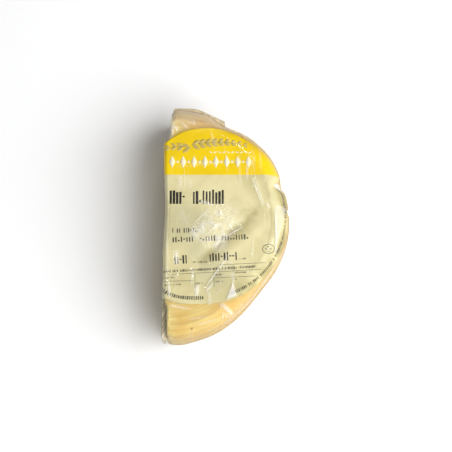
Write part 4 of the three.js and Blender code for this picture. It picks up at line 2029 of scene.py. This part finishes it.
@dataclass
class Studio:
    """White floor, pale surroundings, softboxes, and the camera almost overhead.

    Lengths are in metres, but for the sensor's, in millimetres, and aim, which is a place in the
    wheel's axes. band and below hold heights of directions, each the sine of an elevation.
    """

    placement: Placement
    camera_elevation: float = 82.0
    camera_distance: float = 0.9
    view_width: float = 0.3842
    aim: tuple[float, float, float] = (51.4, -4.2, 60.0)
    sensor: float = 36.0
    sky: Colour = (0.95, 0.98, 1.04, 1.0)
    surroundings: float = 0.065
    horizon: float = 0.42
    band: Stretch = (0.08, 0.34)
    below: Stretch = (-0.05, -0.015)
    under_floor: float = 0.75
    floor_half: float = 1.3
    floor_drop: float = 0.0004
    floor_fades: Stretch = (0.5, 1.25)
    floor_roughness: float = 0.9
    white: Colour = tint(247, 247, 247)
    lights: tuple[Softbox, ...] = (
        Softbox("key", -20.0, 48.0, 1.6, (2.4, 1.7), 60.0, False),
        Softbox("fill", 178.0, 4.0, 2.6, (2.4, 0.25), 12.5, False),
        Softbox("glint_far", 75.0, 66.0, 1.2, (0.16, 0.05), 0.5),
        Softbox("glint_near", -120.0, 70.0, 1.2, (0.12, 0.05), 0.4),
        Softbox("glint_right", -8.0, 66.0, 1.2, (0.1, 0.05), 0.3),
        Softbox("glint_left", 160.0, 74.0, 1.2, (0.12, 0.05), 0.3),
    )

    def build(self) -> None:
        """Adds the floor, the surroundings, the lights and the camera."""
        self.floor()
        self.world()
        target = Vector(self.placement.to_frame(np.array(self.aim)).tolist())
        for light in self.lights:
            light.build(target)
        self.camera(target)
        bpy.context.scene.view_settings.view_transform = "Standard"

    def floor(self) -> None:
        """A plain white sheet, just under the cheese, that fades out towards its border."""
        mesh = bpy.data.meshes.new("floor")
        signs = ((-1, -1), (1, -1), (1, 1), (-1, 1))
        square = [(x * self.floor_half, y * self.floor_half, -self.floor_drop) for x, y in signs]
        mesh.from_pydata(square, [], [(0, 1, 2, 3)])
        sheet = Sheet("floor")
        away = sheet.node("ShaderNodeVectorMath", {0: sheet.place()}, operation="LENGTH")
        gone = sheet.between(away.outputs["Value"], *self.floor_fades)
        white = sheet.solid(self.white, self.floor_roughness)
        mesh.materials.append(sheet.done(sheet.blend(gone, white, sheet.see_through())))
        floor = bpy.data.objects.new("floor", mesh)
        bpy.context.scene.collection.objects.link(floor)

    def world(self) -> None:
        """Soft surroundings: a pale band round the horizon, dimmer above it, and near white below
        it, where the floor has faded out."""
        world = bpy.data.worlds.new("surroundings")
        world.use_nodes = True
        nodes, links = world.node_tree.nodes, world.node_tree.links
        direction = nodes.new("ShaderNodeTexCoord").outputs["Generated"]
        height = nodes.new("ShaderNodeSeparateXYZ")
        links.new(direction, height.inputs[0])
        strength = nodes.new("ShaderNodeMath")
        low, high = self.band
        stretches = ((low, high, self.horizon, self.surroundings), (*self.below, self.under_floor, 0.0))
        for term, stretch in enumerate(stretches):
            fade = nodes.new("ShaderNodeMapRange")
            fade.interpolation_type = "SMOOTHSTEP"
            for socket, value in enumerate(stretch, start=1):
                fade.inputs[socket].default_value = value
            links.new(height.outputs["Z"], fade.inputs[0])
            links.new(fade.outputs[0], strength.inputs[term])
        background = nodes["Background"]
        background.inputs["Color"].default_value = self.sky
        links.new(strength.outputs[0], background.inputs["Strength"])
        bpy.context.scene.world = world

    def camera(self, target: Vector) -> None:
        """A camera whose view is so wide at the target, looking down and a little along +Y.

        Args:
            target: the place in the middle of its view, in the frame.
        """
        data = bpy.data.cameras.new("camera")
        data.sensor_width = self.sensor
        data.lens = data.sensor_width * self.camera_distance / self.view_width
        rise = math.radians(self.camera_elevation)
        way = Vector((0.0, -math.cos(rise), math.sin(rise)))
        camera = bpy.data.objects.new("camera", data)
        camera.location = target + way * self.camera_distance
        camera.rotation_euler = (-way).to_track_quat("-Z", "Y").to_euler()
        bpy.context.scene.collection.objects.link(camera)
        bpy.context.scene.camera = camera


def corners(bounds: tuple) -> list[list[float]]:
    """A box's two corners as plain lists."""
    return [[float(number) for number in corner] for corner in bounds]


def main() -> None:
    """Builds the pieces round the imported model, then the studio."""
    logging.basicConfig(level=logging.INFO, format="%(name)s: %(message)s")
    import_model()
    form, shape, drape = WheelForm(), LabelShape(), Drape()
    placement = Placement.from_frame(shape)
    CheeseHalf(form, shape, drape).build(placement)
    label = PaperLabel(form, shape, drape)
    label.build(placement)
    LabelPrint(label).build(placement)
    ShrinkFilm(form, shape, drape).build(placement)
    FilmFold.far_ear(form).build(placement)
    FilmFold.near_fin(form).build(placement)
    Studio(placement).build()


if __name__ == "__main__":
    main()
